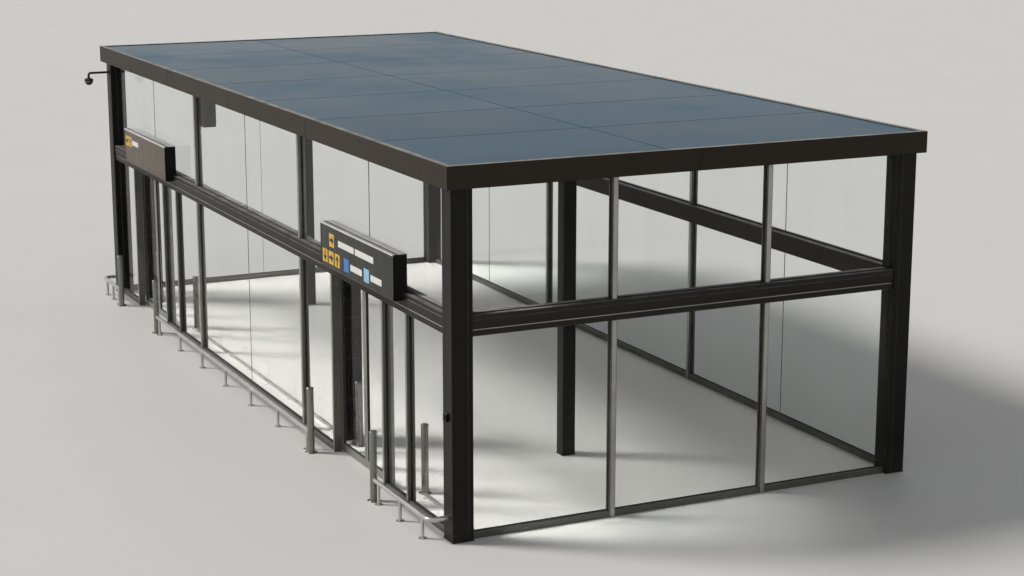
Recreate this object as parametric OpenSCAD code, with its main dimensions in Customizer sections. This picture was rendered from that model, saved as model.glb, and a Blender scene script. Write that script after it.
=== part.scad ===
// Glazed entrance lobby with a flat roof and two bi-parting sliding doors.
// +X points from the hall to the facade, +Y from the near end to the far end, +Z up.
// The origin is on the floor, at the centre of the whole outline.

/* [Lobby] */
// Length over the corner posts
lobby_l = 14565; // [14000:5:16000]
// Width over the corner posts, hall face to facade face
lobby_w = 6150; // [5200:5:7000]
// Height of the roof's top edge over the floor
roof_top = 4283; // [3900:1:4800]

/* [Roof] */
// Depth of the fascia
fascia_h = 260; // [220:1:360]
// How far the fascia stands outside the corner posts
roof_over = 80; // [60:1:160]
// Thickness of the fascia's folded plate
fascia_t = 8; // [4:1:12]
// Width of the fascia's top and bottom lips
lip_w = 75; // [40:1:140]
// Thickness of a roof cassette
deck_t = 60; // [40:1:100]
// Joint between two roof cassettes
deck_joint = 10; // [4:1:20]
// Chamfer on the cassettes' top edges
deck_chamfer = 6; // [2:1:12]
// Cassettes along the roof
deck_rows = 7; // [5:1:9]
// Depth of the roof beams
beam_h = 150; // [120:1:200]
// Width of the beams round the edge
edge_beam_w = 160; // [140:1:220]
// Width of the beams across the middle
cross_beam_w = 90; // [60:1:140]
// Thickness of a roof beam's flanges
flange_t = 12; // [8:1:20]
// Thickness of a roof beam's web
web_t = 9; // [6:1:16]
// Open joint between two fascia plates
fascia_gap = 4; // [2:1:8]
// From the near end to the first joint in the long fascias
fascia_joint_1 = 4330; // [3900:5:4700]
// From the near end to the second joint in the long fascias
fascia_joint_2 = 7540; // [7100:5:7900]
// From the near end to the third joint in the long fascias
fascia_joint_3 = 10530; // [10000:5:11000]

/* [Posts] */
// Side of a square corner post
corner_post = 260; // [220:1:320]
// Corner radius of the corner posts and the inner columns
post_r = 14; // [6:1:20]
// Height of the casing joint round a corner post, level with the transom's underside
casing_joint_h = 14; // [8:1:24]
// Depth of the casing joint
casing_joint_d = 6; // [3:1:10]
// Width of a slim full-height post, seen square to the wall
slim_w = 70; // [50:1:110]
// Depth of a slim post and of a door jamb, through the wall
slim_d = 100; // [80:1:110]
// From the near end to the first slim post's centre
near_bay = 5030; // [4900:5:5300]
// From the far end to the last slim post's centre
far_bay = 4935; // [4850:5:5300]
// Side of a square inner column
column_w = 180; // [120:1:240]
// From the hall face to the inner columns' centres
column_in = 2700; // [2000:5:3300]
// From each end to the inner column there
column_end = 2500; // [2200:5:3200]

/* [Glazing] */
// Height of the transom's underside over the floor
transom_z = 2356; // [2200:1:2500]
// Height of the transom
transom_h = 240; // [200:1:300]
// Depth of the transom, through the wall
transom_d = 200; // [190:1:230]
// How far the transom lies behind the posts' outer faces
transom_set = 20; // [10:1:40]
// Height of the transom's top cap
cap_h = 30; // [20:1:44]
// Height of the dark groove under the cap
groove_h = 24; // [14:1:34]
// Depth of the groove under the cap
groove_d = 16; // [8:1:24]
// Height of the nose band under the groove
nose_h = 72; // [50:1:84]
// How far the band under the nose is set back
band_set = 10; // [5:1:16]
// Chamfer on the edges of rails and transom bands
edge_chamfer = 6; // [3:1:10]
// Height of the rail under the glass
base_h = 80; // [50:1:150]
// Depth of the rail under the glass
base_d = 80; // [50:1:100]
// Thickness of the glass
glass_t = 12; // [8:1:20]
// From the posts' outer faces to the middle of the glass
glass_set = 100; // [80:1:110]
// Joint between two sheets of glass
glass_joint = 8; // [4:1:16]
// Gap on each face of the glass in its pocket, for the gasket
gasket_t = 6; // [4:1:8]
// Depth of the pockets for the glass
pocket_d = 15; // [12:1:18]
// How far the glass reaches into the pockets at its sides and top
bite = 12; // [8:1:14]

/* [Doors] */
// From the near corner post to the near door's fixed leaf
near_sidelight = 1140; // [1000:5:1200]
// From the middle slim post to the far door's fixed leaf
far_sidelight = 1075; // [1000:5:1150]
// Width of the fixed leaf beside a doorway
fixed_leaf_w = 800; // [760:5:900]
// Clear width of a doorway
door_w = 1640; // [1400:5:1680]
// Width of a door jamb
jamb_w = 60; // [40:1:90]
// Thickness of a sliding leaf
leaf_t = 40; // [30:1:50]
// Gap between a sliding leaf and the jambs
leaf_gap = 12; // [8:1:20]
// Gap under a sliding leaf
leaf_floor_gap = 12; // [8:1:20]
// Gap between a sliding leaf and the transom
leaf_head_gap = 6; // [5:1:12]
// Gap between the two leaves when closed
meeting_gap = 6; // [5:1:12]
// How far a leaf laps its jamb
leaf_lap = 30; // [10:1:50]
// Width of a leaf's stiles
stile_w = 50; // [35:1:70]
// Height of a leaf's top rail
leaf_top_rail = 60; // [40:1:90]
// Height of a leaf's bottom rail
leaf_bottom_rail = 95; // [60:1:140]
// Depth of the pocket for the glass in a leaf
leaf_pocket_d = 12; // [8:1:16]
// How far each leaf slides
leaf_travel = 760; // [600:5:800]
// Length of a hanger
hanger_l = 110; // [80:1:140]
// Diameter of a hanger's rollers
roller_d = 40; // [30:1:50]
// Height of the hollow for the hangers in the transom
track_h = 90; // [75:1:110]
// Width of the hollow for the hangers
track_w = 70; // [56:1:90]
// Thickness of the lips that the rollers run on
track_lip_t = 8; // [5:1:14]
// Width of the slot between those lips
track_slot = 26; // [20:1:34]

/* [Signs] */
// Length of a sign box
sign_l = 2380; // [2000:5:2420]
// Height of a sign box's top over the floor
sign_top = 3050; // [2900:1:3300]
// How far a sign box hangs below the transom's top
sign_drop = 90; // [40:1:160]
// How far a sign box stands out from the posts' faces
sign_out = 110; // [60:1:160]
// Depth of a sign box over the transom
sign_d = 175; // [150:1:190]
// Width of the rim round a sign's face
sign_rim = 14; // [8:1:24]
// How far a sign's face is set back in its rim
sign_face_set = 5; // [3:1:10]

/* [Guards] */
// Height of a guard post
guard_h = 850; // [700:5:1000]
// Diameter of a guard post
guard_d = 90; // [60:1:110]
// How far a guard post's foot flange stands out
guard_flange = 35; // [20:1:50]
// Thickness of a guard post's foot flange
guard_flange_t = 10; // [6:1:16]
// Height of a guard post's cap
guard_cap_h = 16; // [10:1:24]
// How far a guard post's cap stands out
guard_cap_out = 5; // [2:1:8]
// From the hall face out to the hall guard posts' centres
guard_out = 230; // [180:5:320]
// From the hall face in to the inner guard posts' centres
guard_in = 440; // [380:5:560]
// Height of the hall bumper rail's top
bumper_top = 300; // [200:5:400]
// Diameter of the bumper rail
bumper_d = 60; // [44:1:80]
// Diameter of a bumper foot's stem
bumper_stem_d = 40; // [30:1:42]
// Diameter of a bumper foot's plate
bumper_plate_d = 100; // [80:1:130]
// From a rail's end to its first foot
bumper_foot_in = 110; // [90:1:160]
// Diameter of the kerb rail inside
kerb_d = 50; // [35:1:70]

/* [Fittings] */
// Height of an air curtain cabinet
curtain_h = 2290; // [2000:5:2330]
// Length of an air curtain cabinet along the wall
curtain_l = 460; // [380:5:560]
// Depth of an air curtain cabinet
curtain_d = 250; // [200:5:300]
// From a guard post to the cabinet beside it
curtain_gap = 45; // [20:1:90]
// From a sliding leaf's inner face to the cabinets
curtain_in = 80; // [60:1:120]
// Width of the margins round a cabinet's outlet
outlet_rim = 40; // [25:1:60]
// How far the outlet stops short of a cabinet's top and bottom
outlet_end = 180; // [120:5:260]
// Reach of the camera arm from the corner post
camera_reach = 345; // [300:5:450]
// From the roof's underside down to the camera arm
camera_drop = 173; // [100:1:240]
// Diameter of the camera arm
arm_d = 38; // [28:1:48]
// Diameter of the camera's housing
dome_d = 150; // [110:1:180]
// Height of the camera's housing
dome_h = 60; // [45:1:80]
// Width of the loudspeaker box
speaker_w = 190; // [140:5:240]
// Height of the loudspeaker box
speaker_h = 560; // [400:5:640]

/* [Hidden] */

$fn = 48;
seat = 0.3;
hall_reach = max(camera_reach + dome_d / 2, guard_out + guard_d / 2);
hall_x = (hall_reach - roof_over - lobby_w) / 2;
facade_x = hall_x + lobby_w;
near_y = -lobby_l / 2;
far_y = lobby_l / 2;

deck_top = roof_top - fascia_t;
beam_top = deck_top - deck_t;
beam_z = beam_top - beam_h;
soffit_z = roof_top - fascia_h;
transom_top = transom_z + transom_h;
slim_set = glass_set - slim_d / 2;

post_1 = near_y + near_bay;
post_2 = far_y - far_bay;
near_set = near_y + corner_post + near_sidelight;
far_set = post_2 + slim_w / 2 + far_sidelight;
door_sets = [near_set, far_set];
door_from = fixed_leaf_w;
door_to = fixed_leaf_w + door_w;
set_end = door_to + jamb_w;

leaf_set = slim_set + slim_d + leaf_gap;
leaf_w = door_w / 2 - meeting_gap / 2 + leaf_lap;
leaf_z = leaf_floor_gap;
leaf_h = transom_z - leaf_floor_gap - leaf_head_gap;
track_mid = leaf_set + leaf_t / 2;
hanger_top = transom_z + track_lip_t + seat + roller_d;
hanger_t = 10;
roller_side = 5;
track_end = 10;

steel = [0.10, 0.10, 0.11];
satin = [0.55, 0.55, 0.54];
taupe = [0.42, 0.39, 0.36];
clear = [0.75, 0.85, 0.88, 0.35];

module slab(from, to) translate(from) cube(to - from);

// A box in the wall's own terms: in from the hall face, along from the near end, up
module hall_box(in, along, up)
    slab([hall_x + in[0], along[0], up[0]], [hall_x + in[1], along[1], up[1]]);

module facade_box(in, along, up)
    slab([facade_x - in[1], along[0], up[0]], [facade_x - in[0], along[1], up[1]]);

module near_box(across, in, up)
    slab([across[0], near_y + in[0], up[0]], [across[1], near_y + in[1], up[1]]);

module far_box(across, in, up)
    slab([across[0], far_y - in[1], up[0]], [across[1], far_y - in[0], up[1]]);

// Roof
module roof_outline(inset, z0, z1)
    slab([hall_x - roof_over + inset, near_y - roof_over + inset, z0],
         [facade_x + roof_over - inset, far_y + roof_over - inset, z1]);

// The section of a joint between two cassettes: a slot that widens at the top
module deck_joint_section() translate([0, beam_top]) polygon([
    [-deck_joint / 2, -1], [deck_joint / 2, -1],
    [deck_joint / 2, deck_t - deck_chamfer], [deck_joint / 2 + deck_chamfer + 1, deck_t + 1],
    [-deck_joint / 2 - deck_chamfer - 1, deck_t + 1], [-deck_joint / 2, deck_t - deck_chamfer]
]);

deck_row = (lobby_l + 2 * roof_over) / deck_rows;

module roof_deck() color([0.42, 0.52, 0.60]) difference() {
    roof_outline(fascia_t, beam_top, deck_top);
    for (i = [1 : deck_rows - 1])
        translate([hall_x - lobby_w, near_y - roof_over + i * deck_row, 0])
            rotate([90, 0, 90]) linear_extrude(3 * lobby_w) deck_joint_section();
    translate([hall_x + column_in, far_y + lobby_l, 0])
        rotate([90, 0, 0]) linear_extrude(3 * lobby_l) deck_joint_section();
}

// The section of a channel of width w, its back at x = 0 and its flanges towards +x
module channel_section(w) translate([0, beam_z]) polygon([
    [0, 0], [w, 0], [w, flange_t], [web_t, flange_t],
    [web_t, beam_h - flange_t], [w, beam_h - flange_t], [w, beam_h], [0, beam_h]
]);

// The section of an I beam of width w, centred on x = 0
module i_section(w) translate([0, beam_z]) polygon([
    [-w / 2, 0], [w / 2, 0], [w / 2, flange_t], [web_t / 2, flange_t],
    [web_t / 2, beam_h - flange_t], [w / 2, beam_h - flange_t], [w / 2, beam_h],
    [-w / 2, beam_h], [-w / 2, beam_h - flange_t], [-web_t / 2, beam_h - flange_t],
    [-web_t / 2, flange_t], [-w / 2, flange_t]
]);

// Stands a section up and draws it along Y or along X
module along_y(from, to) translate([0, to, 0]) rotate([90, 0, 0]) linear_extrude(to - from) children();
module along_x(from, to) translate([from, 0, 0]) rotate([90, 0, 90]) linear_extrude(to - from) children();

// Edge channels, an I-section spine over the inner columns, and I-section cross beams, end to face
module roof_beams() color(steel) {
    spine_x = [for (d = [-1, 1]) hall_x + column_in + d * column_w / 2];
    inner_ends = [hall_x + edge_beam_w + seat, facade_x - edge_beam_w - seat];
    translate([hall_x, 0, 0]) along_y(near_y, far_y) channel_section(edge_beam_w);
    translate([facade_x, 0, 0]) mirror([1, 0, 0]) along_y(near_y, far_y) channel_section(edge_beam_w);
    translate([0, near_y, 0]) along_x(inner_ends[0], inner_ends[1]) channel_section(edge_beam_w);
    translate([0, far_y, 0]) mirror([0, 1, 0])
        along_x(inner_ends[0], inner_ends[1]) channel_section(edge_beam_w);
    translate([hall_x + column_in, 0, 0])
        along_y(near_y + edge_beam_w + seat, far_y - edge_beam_w - seat) i_section(column_w);
    for (i = [1 : deck_rows - 1],
         x = [[inner_ends[0], spine_x[0] - seat], [spine_x[1] + seat, inner_ends[1]]])
        translate([0, near_y - roof_over + i * deck_row, 0]) along_x(x[0], x[1]) i_section(cross_beam_w);
}

module fascia_ring() difference() {
    roof_outline(0, soffit_z, roof_top);
    roof_outline(fascia_t, soffit_z + fascia_t, roof_top - fascia_t);
    roof_outline(lip_w, soffit_z - 1, roof_top + 1);
}

// The mitred quarter of the ring on one side, from its two outer corners, with open
// joints at those distances from the first corner
module fascia_side(a, b, inward, joints) color(taupe) difference() {
    along = (b - a) / norm(b - a);
    intersection() {
        fascia_ring();
        translate([0, 0, soffit_z - 1]) linear_extrude(fascia_h + 2)
            polygon([a, b, b + lip_w * (inward - along), a + lip_w * (inward + along)]);
    }
    for (j = joints) translate([0, 0, soffit_z - 1]) linear_extrude(fascia_h + 2) polygon([
        for (k = [[-1, -1], [1, -1], [1, 1], [-1, 1]])
            a + along * (j + k[0] * fascia_gap / 2) + inward * k[1] * lip_w * 1.5
    ]);
}

roof_x0 = hall_x - roof_over;
roof_x1 = facade_x + roof_over;
roof_y0 = near_y - roof_over;
roof_y1 = far_y + roof_over;
long_joints = [for (j = [fascia_joint_1, fascia_joint_2, fascia_joint_3]) j + roof_over];
short_joints = [(roof_x1 - roof_x0) / 2];

module fascia_hall() fascia_side([roof_x0, roof_y0], [roof_x0, roof_y1], [1, 0], long_joints);
module fascia_facade() fascia_side([roof_x1, roof_y0], [roof_x1, roof_y1], [-1, 0], long_joints);
module fascia_near() fascia_side([roof_x0, roof_y0], [roof_x1, roof_y0], [0, 1], short_joints);
module fascia_far() fascia_side([roof_x0, roof_y1], [roof_x1, roof_y1], [0, -1], short_joints);

// A square with round corners, from its lower left corner
module round_square(w, d, r) {
    translate([r, 0]) square([w - 2 * r, d]);
    translate([0, r]) square([w, d - 2 * r]);
    for (x = [r, w - r], y = [r, d - r]) translate([x, y]) circle(r);
}

// Posts
module corner_post_at(x, y) color(steel) translate([x, y, 0]) {
    joint_z = transom_z - casing_joint_h;
    linear_extrude(joint_z) round_square(corner_post, corner_post, post_r);
    translate([casing_joint_d, casing_joint_d, joint_z]) linear_extrude(casing_joint_h)
        square(corner_post - 2 * casing_joint_d);
    translate([0, 0, transom_z]) linear_extrude(beam_z - transom_z)
        round_square(corner_post, corner_post, post_r);
}

module corner_post_hall_near() corner_post_at(hall_x, near_y);
module corner_post_hall_far() corner_post_at(hall_x, far_y - corner_post);
module corner_post_facade_near() corner_post_at(facade_x - corner_post, near_y);
module corner_post_facade_far() corner_post_at(facade_x - corner_post, far_y - corner_post);

module inner_columns() color(steel)
    for (y = [near_y + column_end, far_y - column_end])
        translate([hall_x + column_in - column_w / 2, y - column_w / 2, 0])
            linear_extrude(beam_z) round_square(column_w, column_w, post_r);

// Fixed bays of each wall between its posts, lower ones under the transom and upper ones over it
inner_y = [near_y + corner_post, far_y - corner_post];
inner_x = [hall_x + corner_post, facade_x - corner_post];
near_post_x = [hall_x + lobby_w / 3, hall_x + 2 * lobby_w / 3];
hall_bays = [
    [inner_y[0], near_set],
    [near_set + jamb_w, near_set + door_from - jamb_w],
    [near_set + set_end, post_1 - slim_w / 2],
    [post_1 + slim_w / 2, post_2 - slim_w / 2],
    [post_2 + slim_w / 2, far_set],
    [far_set + jamb_w, far_set + door_from - jamb_w],
    [far_set + set_end, inner_y[1]]
];
upper_bays = [
    [inner_y[0], post_1 - slim_w / 2],
    [post_1 + slim_w / 2, post_2 - slim_w / 2],
    [post_2 + slim_w / 2, inner_y[1]]
];
near_bays = [
    [inner_x[0], near_post_x[0] - slim_w / 2],
    [near_post_x[0] + slim_w / 2, near_post_x[1] - slim_w / 2],
    [near_post_x[1] + slim_w / 2, inner_x[1]]
];
far_bays = [
    [inner_x[0], hall_x + column_in - glass_joint / 2],
    [hall_x + column_in + glass_joint / 2, inner_x[1]]
];

glass_in = [glass_set - glass_t / 2, glass_set + glass_t / 2];
pocket_in = [glass_in[0] - gasket_t, glass_in[1] + gasket_t];
lower_up = [base_h, transom_z];
upper_up = [transom_top, beam_z];

// A bay stretched by more at each end, but by at_corner where it ends at a corner post
function stretched(bay, wall, more, at_corner) = [
    bay[0] - (bay[0] > wall[0] ? more : at_corner),
    bay[1] + (bay[1] < wall[1] ? more : at_corner)
];
function pocket_along(bay, wall) = stretched(bay, wall, pocket_d, 1);
function glass_along(bay, wall) = stretched(bay, wall, bite, 0);
function pocket_up(up) = [up[0] - pocket_d, up[1] + pocket_d];
function glass_up(up, top) = [up[0] - pocket_d + seat, up[1] + top];

// The pockets that the sheets of glass stand in
module hall_pockets() {
    for (bay = hall_bays) hall_box(pocket_in, pocket_along(bay, inner_y), pocket_up(lower_up));
    for (bay = upper_bays) hall_box(pocket_in, pocket_along(bay, inner_y), pocket_up(upper_up));
}
module facade_pockets()
    for (bay = upper_bays, up = [lower_up, upper_up])
        facade_box(pocket_in, pocket_along(bay, inner_y), pocket_up(up));
module near_pockets()
    for (bay = near_bays, up = [lower_up, upper_up])
        near_box(pocket_along(bay, inner_x), pocket_in, pocket_up(up));

// The two lengths of a slim post, under and over the transom
post_spans = [[0, transom_z], [transom_top, beam_z]];
slim_in = [slim_set, slim_set + slim_d];

module hall_posts() color(satin) difference() {
    for (y = [post_1, post_2], span = post_spans)
        hall_box(slim_in, [y - slim_w / 2, y + slim_w / 2], span);
    hall_pockets();
}

module facade_posts() color(satin) difference() {
    for (y = [post_1, post_2], span = post_spans)
        facade_box(slim_in, [y - slim_w / 2, y + slim_w / 2], span);
    facade_pockets();
}

module near_posts() color(satin) difference() {
    for (x = near_post_x, span = post_spans)
        near_box([x - slim_w / 2, x + slim_w / 2], slim_in, span);
    near_pockets();
}

module door_jambs() color(satin) difference() {
    for (s = door_sets, y = [0, door_from - jamb_w, door_to])
        hall_box(slim_in, [s + y, s + y + jamb_w], [0, transom_z]);
    hall_pockets();
}

// Transoms
// The section of a transom, its outer face at x = 0: cap, dark groove, nose band, lower band
module transom_section() {
    groove_top = transom_h - cap_h;
    nose_top = groove_top - groove_h;
    nose_foot = nose_top - nose_h;
    translate([0, transom_z]) polygon([
        [band_set, 0], [transom_d, 0], [transom_d, transom_h],
        [edge_chamfer, transom_h], [0, transom_h - edge_chamfer],
        [0, groove_top], [groove_d, groove_top], [groove_d, nose_top],
        [edge_chamfer, nose_top], [0, nose_top - edge_chamfer],
        [0, nose_foot + edge_chamfer], [band_set, nose_foot]
    ]);
}

// The hollow that the hangers of one door run in, open below by a slot
module track_hollow(s) {
    run = leaf_travel + leaf_lap + track_end;
    along = [s + door_from - run, s + door_to + run];
    hall_box([track_mid - track_w / 2, track_mid + track_w / 2], along,
             [transom_z + track_lip_t, transom_z + track_h]);
    hall_box([track_mid - track_slot / 2, track_mid + track_slot / 2], along,
             [transom_z - 1, transom_z + track_lip_t + 1]);
}

module transom_hall() color(taupe) difference() {
    translate([hall_x + transom_set, 0, 0]) along_y(inner_y[0], inner_y[1]) transom_section();
    for (s = door_sets) track_hollow(s);
    hall_pockets();
}

module transom_facade() color(taupe) difference() {
    translate([facade_x - transom_set, 0, 0]) mirror([1, 0, 0])
        along_y(inner_y[0], inner_y[1]) transom_section();
    facade_pockets();
}

module transom_near() color(taupe) difference() {
    translate([0, near_y + transom_set, 0]) along_x(inner_x[0], inner_x[1]) transom_section();
    near_pockets();
}

// The section of the rail under the glass, centred on the glass
module rail_section() polygon([
    [-base_d / 2, 0], [base_d / 2, 0], [base_d / 2, base_h - edge_chamfer],
    [base_d / 2 - edge_chamfer, base_h], [-base_d / 2 + edge_chamfer, base_h],
    [-base_d / 2, base_h - edge_chamfer]
]);

module base_rails() color(satin) difference() {
    union() {
        for (bay = hall_bays)
            translate([hall_x + glass_set, 0, 0]) along_y(bay[0], bay[1]) rail_section();
        for (bay = upper_bays)
            translate([facade_x - glass_set, 0, 0]) along_y(bay[0], bay[1]) rail_section();
        for (bay = near_bays)
            translate([0, near_y + glass_set, 0]) along_x(bay[0], bay[1]) rail_section();
        translate([0, far_y - glass_set, 0]) along_x(inner_x[0], inner_x[1]) rail_section();
    }
    hall_pockets();
    facade_pockets();
    near_pockets();
    far_box([inner_x[0] - 1, inner_x[1] + 1], pocket_in, pocket_up(lower_up));
}

// Splits a long bay into sheets of at most sheet_max, with joints between them
sheet_max = 2400;
function sheets(bay) =
    let (n = ceil((bay[1] - bay[0]) / sheet_max), w = (bay[1] - bay[0] + glass_joint) / n)
    [for (i = [0 : n - 1]) [bay[0] + i * w, bay[0] + (i + 1) * w - glass_joint]];

module lower_glass_hall() color(clear)
    for (bay = hall_bays, s = sheets(glass_along(bay, inner_y)))
        hall_box(glass_in, s, glass_up(lower_up, bite));
module upper_glass_hall() color(clear)
    for (bay = upper_bays, s = sheets(glass_along(bay, inner_y)))
        hall_box(glass_in, s, glass_up(upper_up, 0));
module lower_glass_facade() color(clear)
    for (bay = upper_bays, s = sheets(glass_along(bay, inner_y)))
        facade_box(glass_in, s, glass_up(lower_up, bite));
module upper_glass_facade() color(clear)
    for (bay = upper_bays, s = sheets(glass_along(bay, inner_y)))
        facade_box(glass_in, s, glass_up(upper_up, 0));
module lower_glass_near() color(clear)
    for (bay = near_bays) near_box(glass_along(bay, inner_x), glass_in, glass_up(lower_up, bite));
module upper_glass_near() color(clear)
    for (bay = near_bays) near_box(glass_along(bay, inner_x), glass_in, glass_up(upper_up, 0));
module glass_far() color(clear)
    for (bay = far_bays) far_box(bay, glass_in, glass_up([base_h, beam_z], 0));

// Sliding leaves
function leaf_from(s, side) = side < 0
    ? s + door_from - leaf_lap
    : s + door_to + leaf_lap - leaf_w;

module hanger(y) {
    hall_box([track_mid - hanger_t / 2, track_mid + hanger_t / 2],
             [y - hanger_l / 2, y + hanger_l / 2], [leaf_z + leaf_h - 1, hanger_top]);
    for (dy = [-1, 1] * (hanger_l / 2 - roller_d / 2))
        translate([hall_x + track_mid, y + dy, transom_z + track_lip_t + seat + roller_d / 2])
            rotate([0, 90, 0]) cylinder(d = roller_d, h = track_w - 2 * roller_side, center = true);
}

// The clear opening of a leaf's frame, stretched by more at its sides and top and by foot below
module leaf_opening(s, side, across, more, foot) {
    y = leaf_from(s, side);
    hall_box([track_mid - across / 2, track_mid + across / 2],
             [y + stile_w - more, y + leaf_w - stile_w + more],
             [leaf_z + leaf_bottom_rail - foot, leaf_z + leaf_h - leaf_top_rail + more]);
}

module leaf(s, side) color(satin) {
    y = leaf_from(s, side);
    difference() {
        hall_box([leaf_set, leaf_set + leaf_t], [y, y + leaf_w], [leaf_z, leaf_z + leaf_h]);
        leaf_opening(s, side, leaf_t + 2, 0, 0);
        leaf_opening(s, side, glass_t + 2 * gasket_t, leaf_pocket_d, leaf_pocket_d);
    }
    for (f = [0.22, 0.78]) hanger(y + f * leaf_w);
}

module leaf_glass(s, side) color(clear)
    leaf_opening(s, side, glass_t, leaf_pocket_d - 3, leaf_pocket_d - seat);

module near_door_near_leaf() leaf(near_set, -1);
module near_door_near_glass() leaf_glass(near_set, -1);
module near_door_far_leaf() leaf(near_set, 1);
module near_door_far_glass() leaf_glass(near_set, 1);
module far_door_near_leaf() leaf(far_set, -1);
module far_door_near_glass() leaf_glass(far_set, -1);
module far_door_far_leaf() leaf(far_set, 1);
module far_door_far_glass() leaf_glass(far_set, 1);

// A sign box hooks over the transom's hall face, with its face set back in a rim
module sign(s) color([0.13, 0.13, 0.14]) difference() {
    along_y(s, s + sign_l) polygon([
        [hall_x - sign_out, transom_top - sign_drop],
        [hall_x + transom_set, transom_top - sign_drop],
        [hall_x + transom_set, transom_top],
        [hall_x - sign_out + sign_d, transom_top],
        [hall_x - sign_out + sign_d, sign_top],
        [hall_x - sign_out, sign_top]
    ]);
    hall_box([-sign_out - 1, -sign_out + sign_face_set], [s + sign_rim, s + sign_l - sign_rim],
             [transom_top - sign_drop + sign_rim, sign_top - sign_rim]);
}

module sign_near() sign(near_set);
module sign_far() sign(far_set);

// Guards
guard_start = 400;
guard_end = set_end + 20 + guard_d / 2;
guard_y = [for (s = door_sets, d = [guard_start, guard_end]) s + d];

// A turned post: foot flange, shaft and a cap with a sloped rim
module guard_post(x, y) {
    r = guard_d / 2;
    cap_r = r + guard_cap_out;
    flange_r = r + guard_flange;
    edge = guard_flange_t * 0.3;
    slope = guard_cap_h * 0.4;
    translate([x, y, 0]) rotate_extrude() polygon([
        [0, 0], [flange_r, 0], [flange_r, guard_flange_t - edge], [flange_r - edge, guard_flange_t],
        [r, guard_flange_t], [r, guard_h], [cap_r, guard_h], [cap_r, guard_h + guard_cap_h - slope],
        [cap_r - slope, guard_h + guard_cap_h], [0, guard_h + guard_cap_h]
    ]);
}

module guard_posts_hall() color(satin)
    for (y = guard_y) guard_post(hall_x - guard_out, y);

module guard_posts_inside() color(satin)
    for (y = guard_y) guard_post(hall_x + guard_in, y);

// A foot under the bumper rail: a plate and a stem coped to the tube, a hair below it
module bumper_foot(x, y, z) difference() {
    translate([x, y, 0]) {
        cylinder(d = bumper_plate_d, h = 8);
        cylinder(d = bumper_stem_d, h = z);
    }
    translate([x, y - bumper_plate_d, z]) rotate([-90, 0, 0])
        cylinder(d = bumper_d + 2 * seat, h = 2 * bumper_plate_d);
}

// A tube along the hall wall on short feet; back is -1 or 1 where its near or far end turns
// back to a corner post
bend_r = 90;

module bumper(from, to, back = 0) {
    x = hall_x - guard_out;
    z = bumper_top - bumper_d / 2;
    spaces = max(2, round((to - from) / 1100));
    feet = [from + bumper_foot_in, to - bumper_foot_in];
    for (i = [0 : spaces]) bumper_foot(x, feet[0] + i * (feet[1] - feet[0]) / spaces, z);
    translate([x, from, z]) rotate([-90, 0, 0]) cylinder(d = bumper_d, h = to - from);
    if (back != 0)
        translate([x + bend_r, back < 0 ? from : to, z]) mirror([0, back < 0 ? 1 : 0, 0]) {
            rotate([0, 0, 90]) rotate_extrude(angle = 90) translate([bend_r, 0]) circle(d = bumper_d);
            translate([0, bend_r, 0]) rotate([0, 90, 0])
                cylinder(d = bumper_d, h = guard_out - bend_r - seat);
        }
}

module bumper_rails() color(satin) {
    at_post = guard_d / 2 + seat;
    at_corner = corner_post / 2 + bend_r;
    bumper(near_y + at_corner, guard_y[0] - at_post, -1);
    bumper(guard_y[1] + at_post, guard_y[2] - at_post);
    bumper(guard_y[3] + at_post, far_y - at_corner, 1);
}

// A round kerb on a narrow bed, laid on the floor
module kerb(from, to)
    translate([hall_x + guard_in - kerb_d, 0, 0]) along_y(from, to) {
        translate([0, kerb_d / 2]) circle(d = kerb_d);
        translate([-kerb_d * 0.4, 0]) square([kerb_d * 0.8, kerb_d / 3]);
    }

module kerb_rails() color(satin) {
    gap = guard_d + 40;
    kerb(inner_y[0] + 120, guard_y[0] - gap);
    kerb(curtain_y(near_set) + curtain_l + gap, guard_y[2] - gap);
    kerb(curtain_y(far_set) + curtain_l + gap / 2, inner_y[1] - 40);
}

// Air curtain cabinets, inside and just past each doorway, on brackets from the transom
function curtain_y(s) = s + guard_end + guard_d / 2 + curtain_gap;

module air_curtain(s) color([0.07, 0.07, 0.08]) {
    y = curtain_y(s);
    face = leaf_set + leaf_t + curtain_in;
    bracket_up = [transom_z + 30, transom_z + 70];
    difference() {
        translate([hall_x + face, y, 0]) linear_extrude(curtain_h) round_square(curtain_d, curtain_l, 10);
        hall_box([face + outlet_rim, face + curtain_d - outlet_rim], [y - 1, y + 30],
                 [outlet_end, curtain_h - outlet_end]);
    }
    for (at = [y + 60, y + curtain_l - 100]) {
        hall_box([face, face + 10], [at, at + 40], [curtain_h - 1, bracket_up[1]]);
        hall_box([transom_set + transom_d + seat, face + 1], [at, at + 40], bracket_up);
    }
}

module air_curtain_near() air_curtain(near_set);
module air_curtain_far() air_curtain(far_set);

// Camera on a gooseneck arm at the far corner post
camera_z = soffit_z - camera_drop;
camera_y = far_y - corner_post / 2;
arm_foot = 40;

module camera_arm() color(steel) {
    translate([hall_x - 8, camera_y, camera_z]) rotate([0, 90, 0]) cylinder(d = 110, h = 8);
    translate([hall_x - camera_reach + arm_d, camera_y, camera_z]) rotate([0, 90, 0])
        cylinder(d = arm_d, h = camera_reach - arm_d - 4);
    translate([hall_x - camera_reach + arm_d, camera_y, camera_z - arm_d]) rotate([90, 0, 0])
        rotate([0, 0, 90]) rotate_extrude(angle = 90) translate([arm_d, 0]) circle(d = arm_d);
    translate([hall_x - camera_reach, camera_y, camera_z - arm_d - arm_foot])
        cylinder(d = arm_d, h = arm_foot);
}

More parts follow.
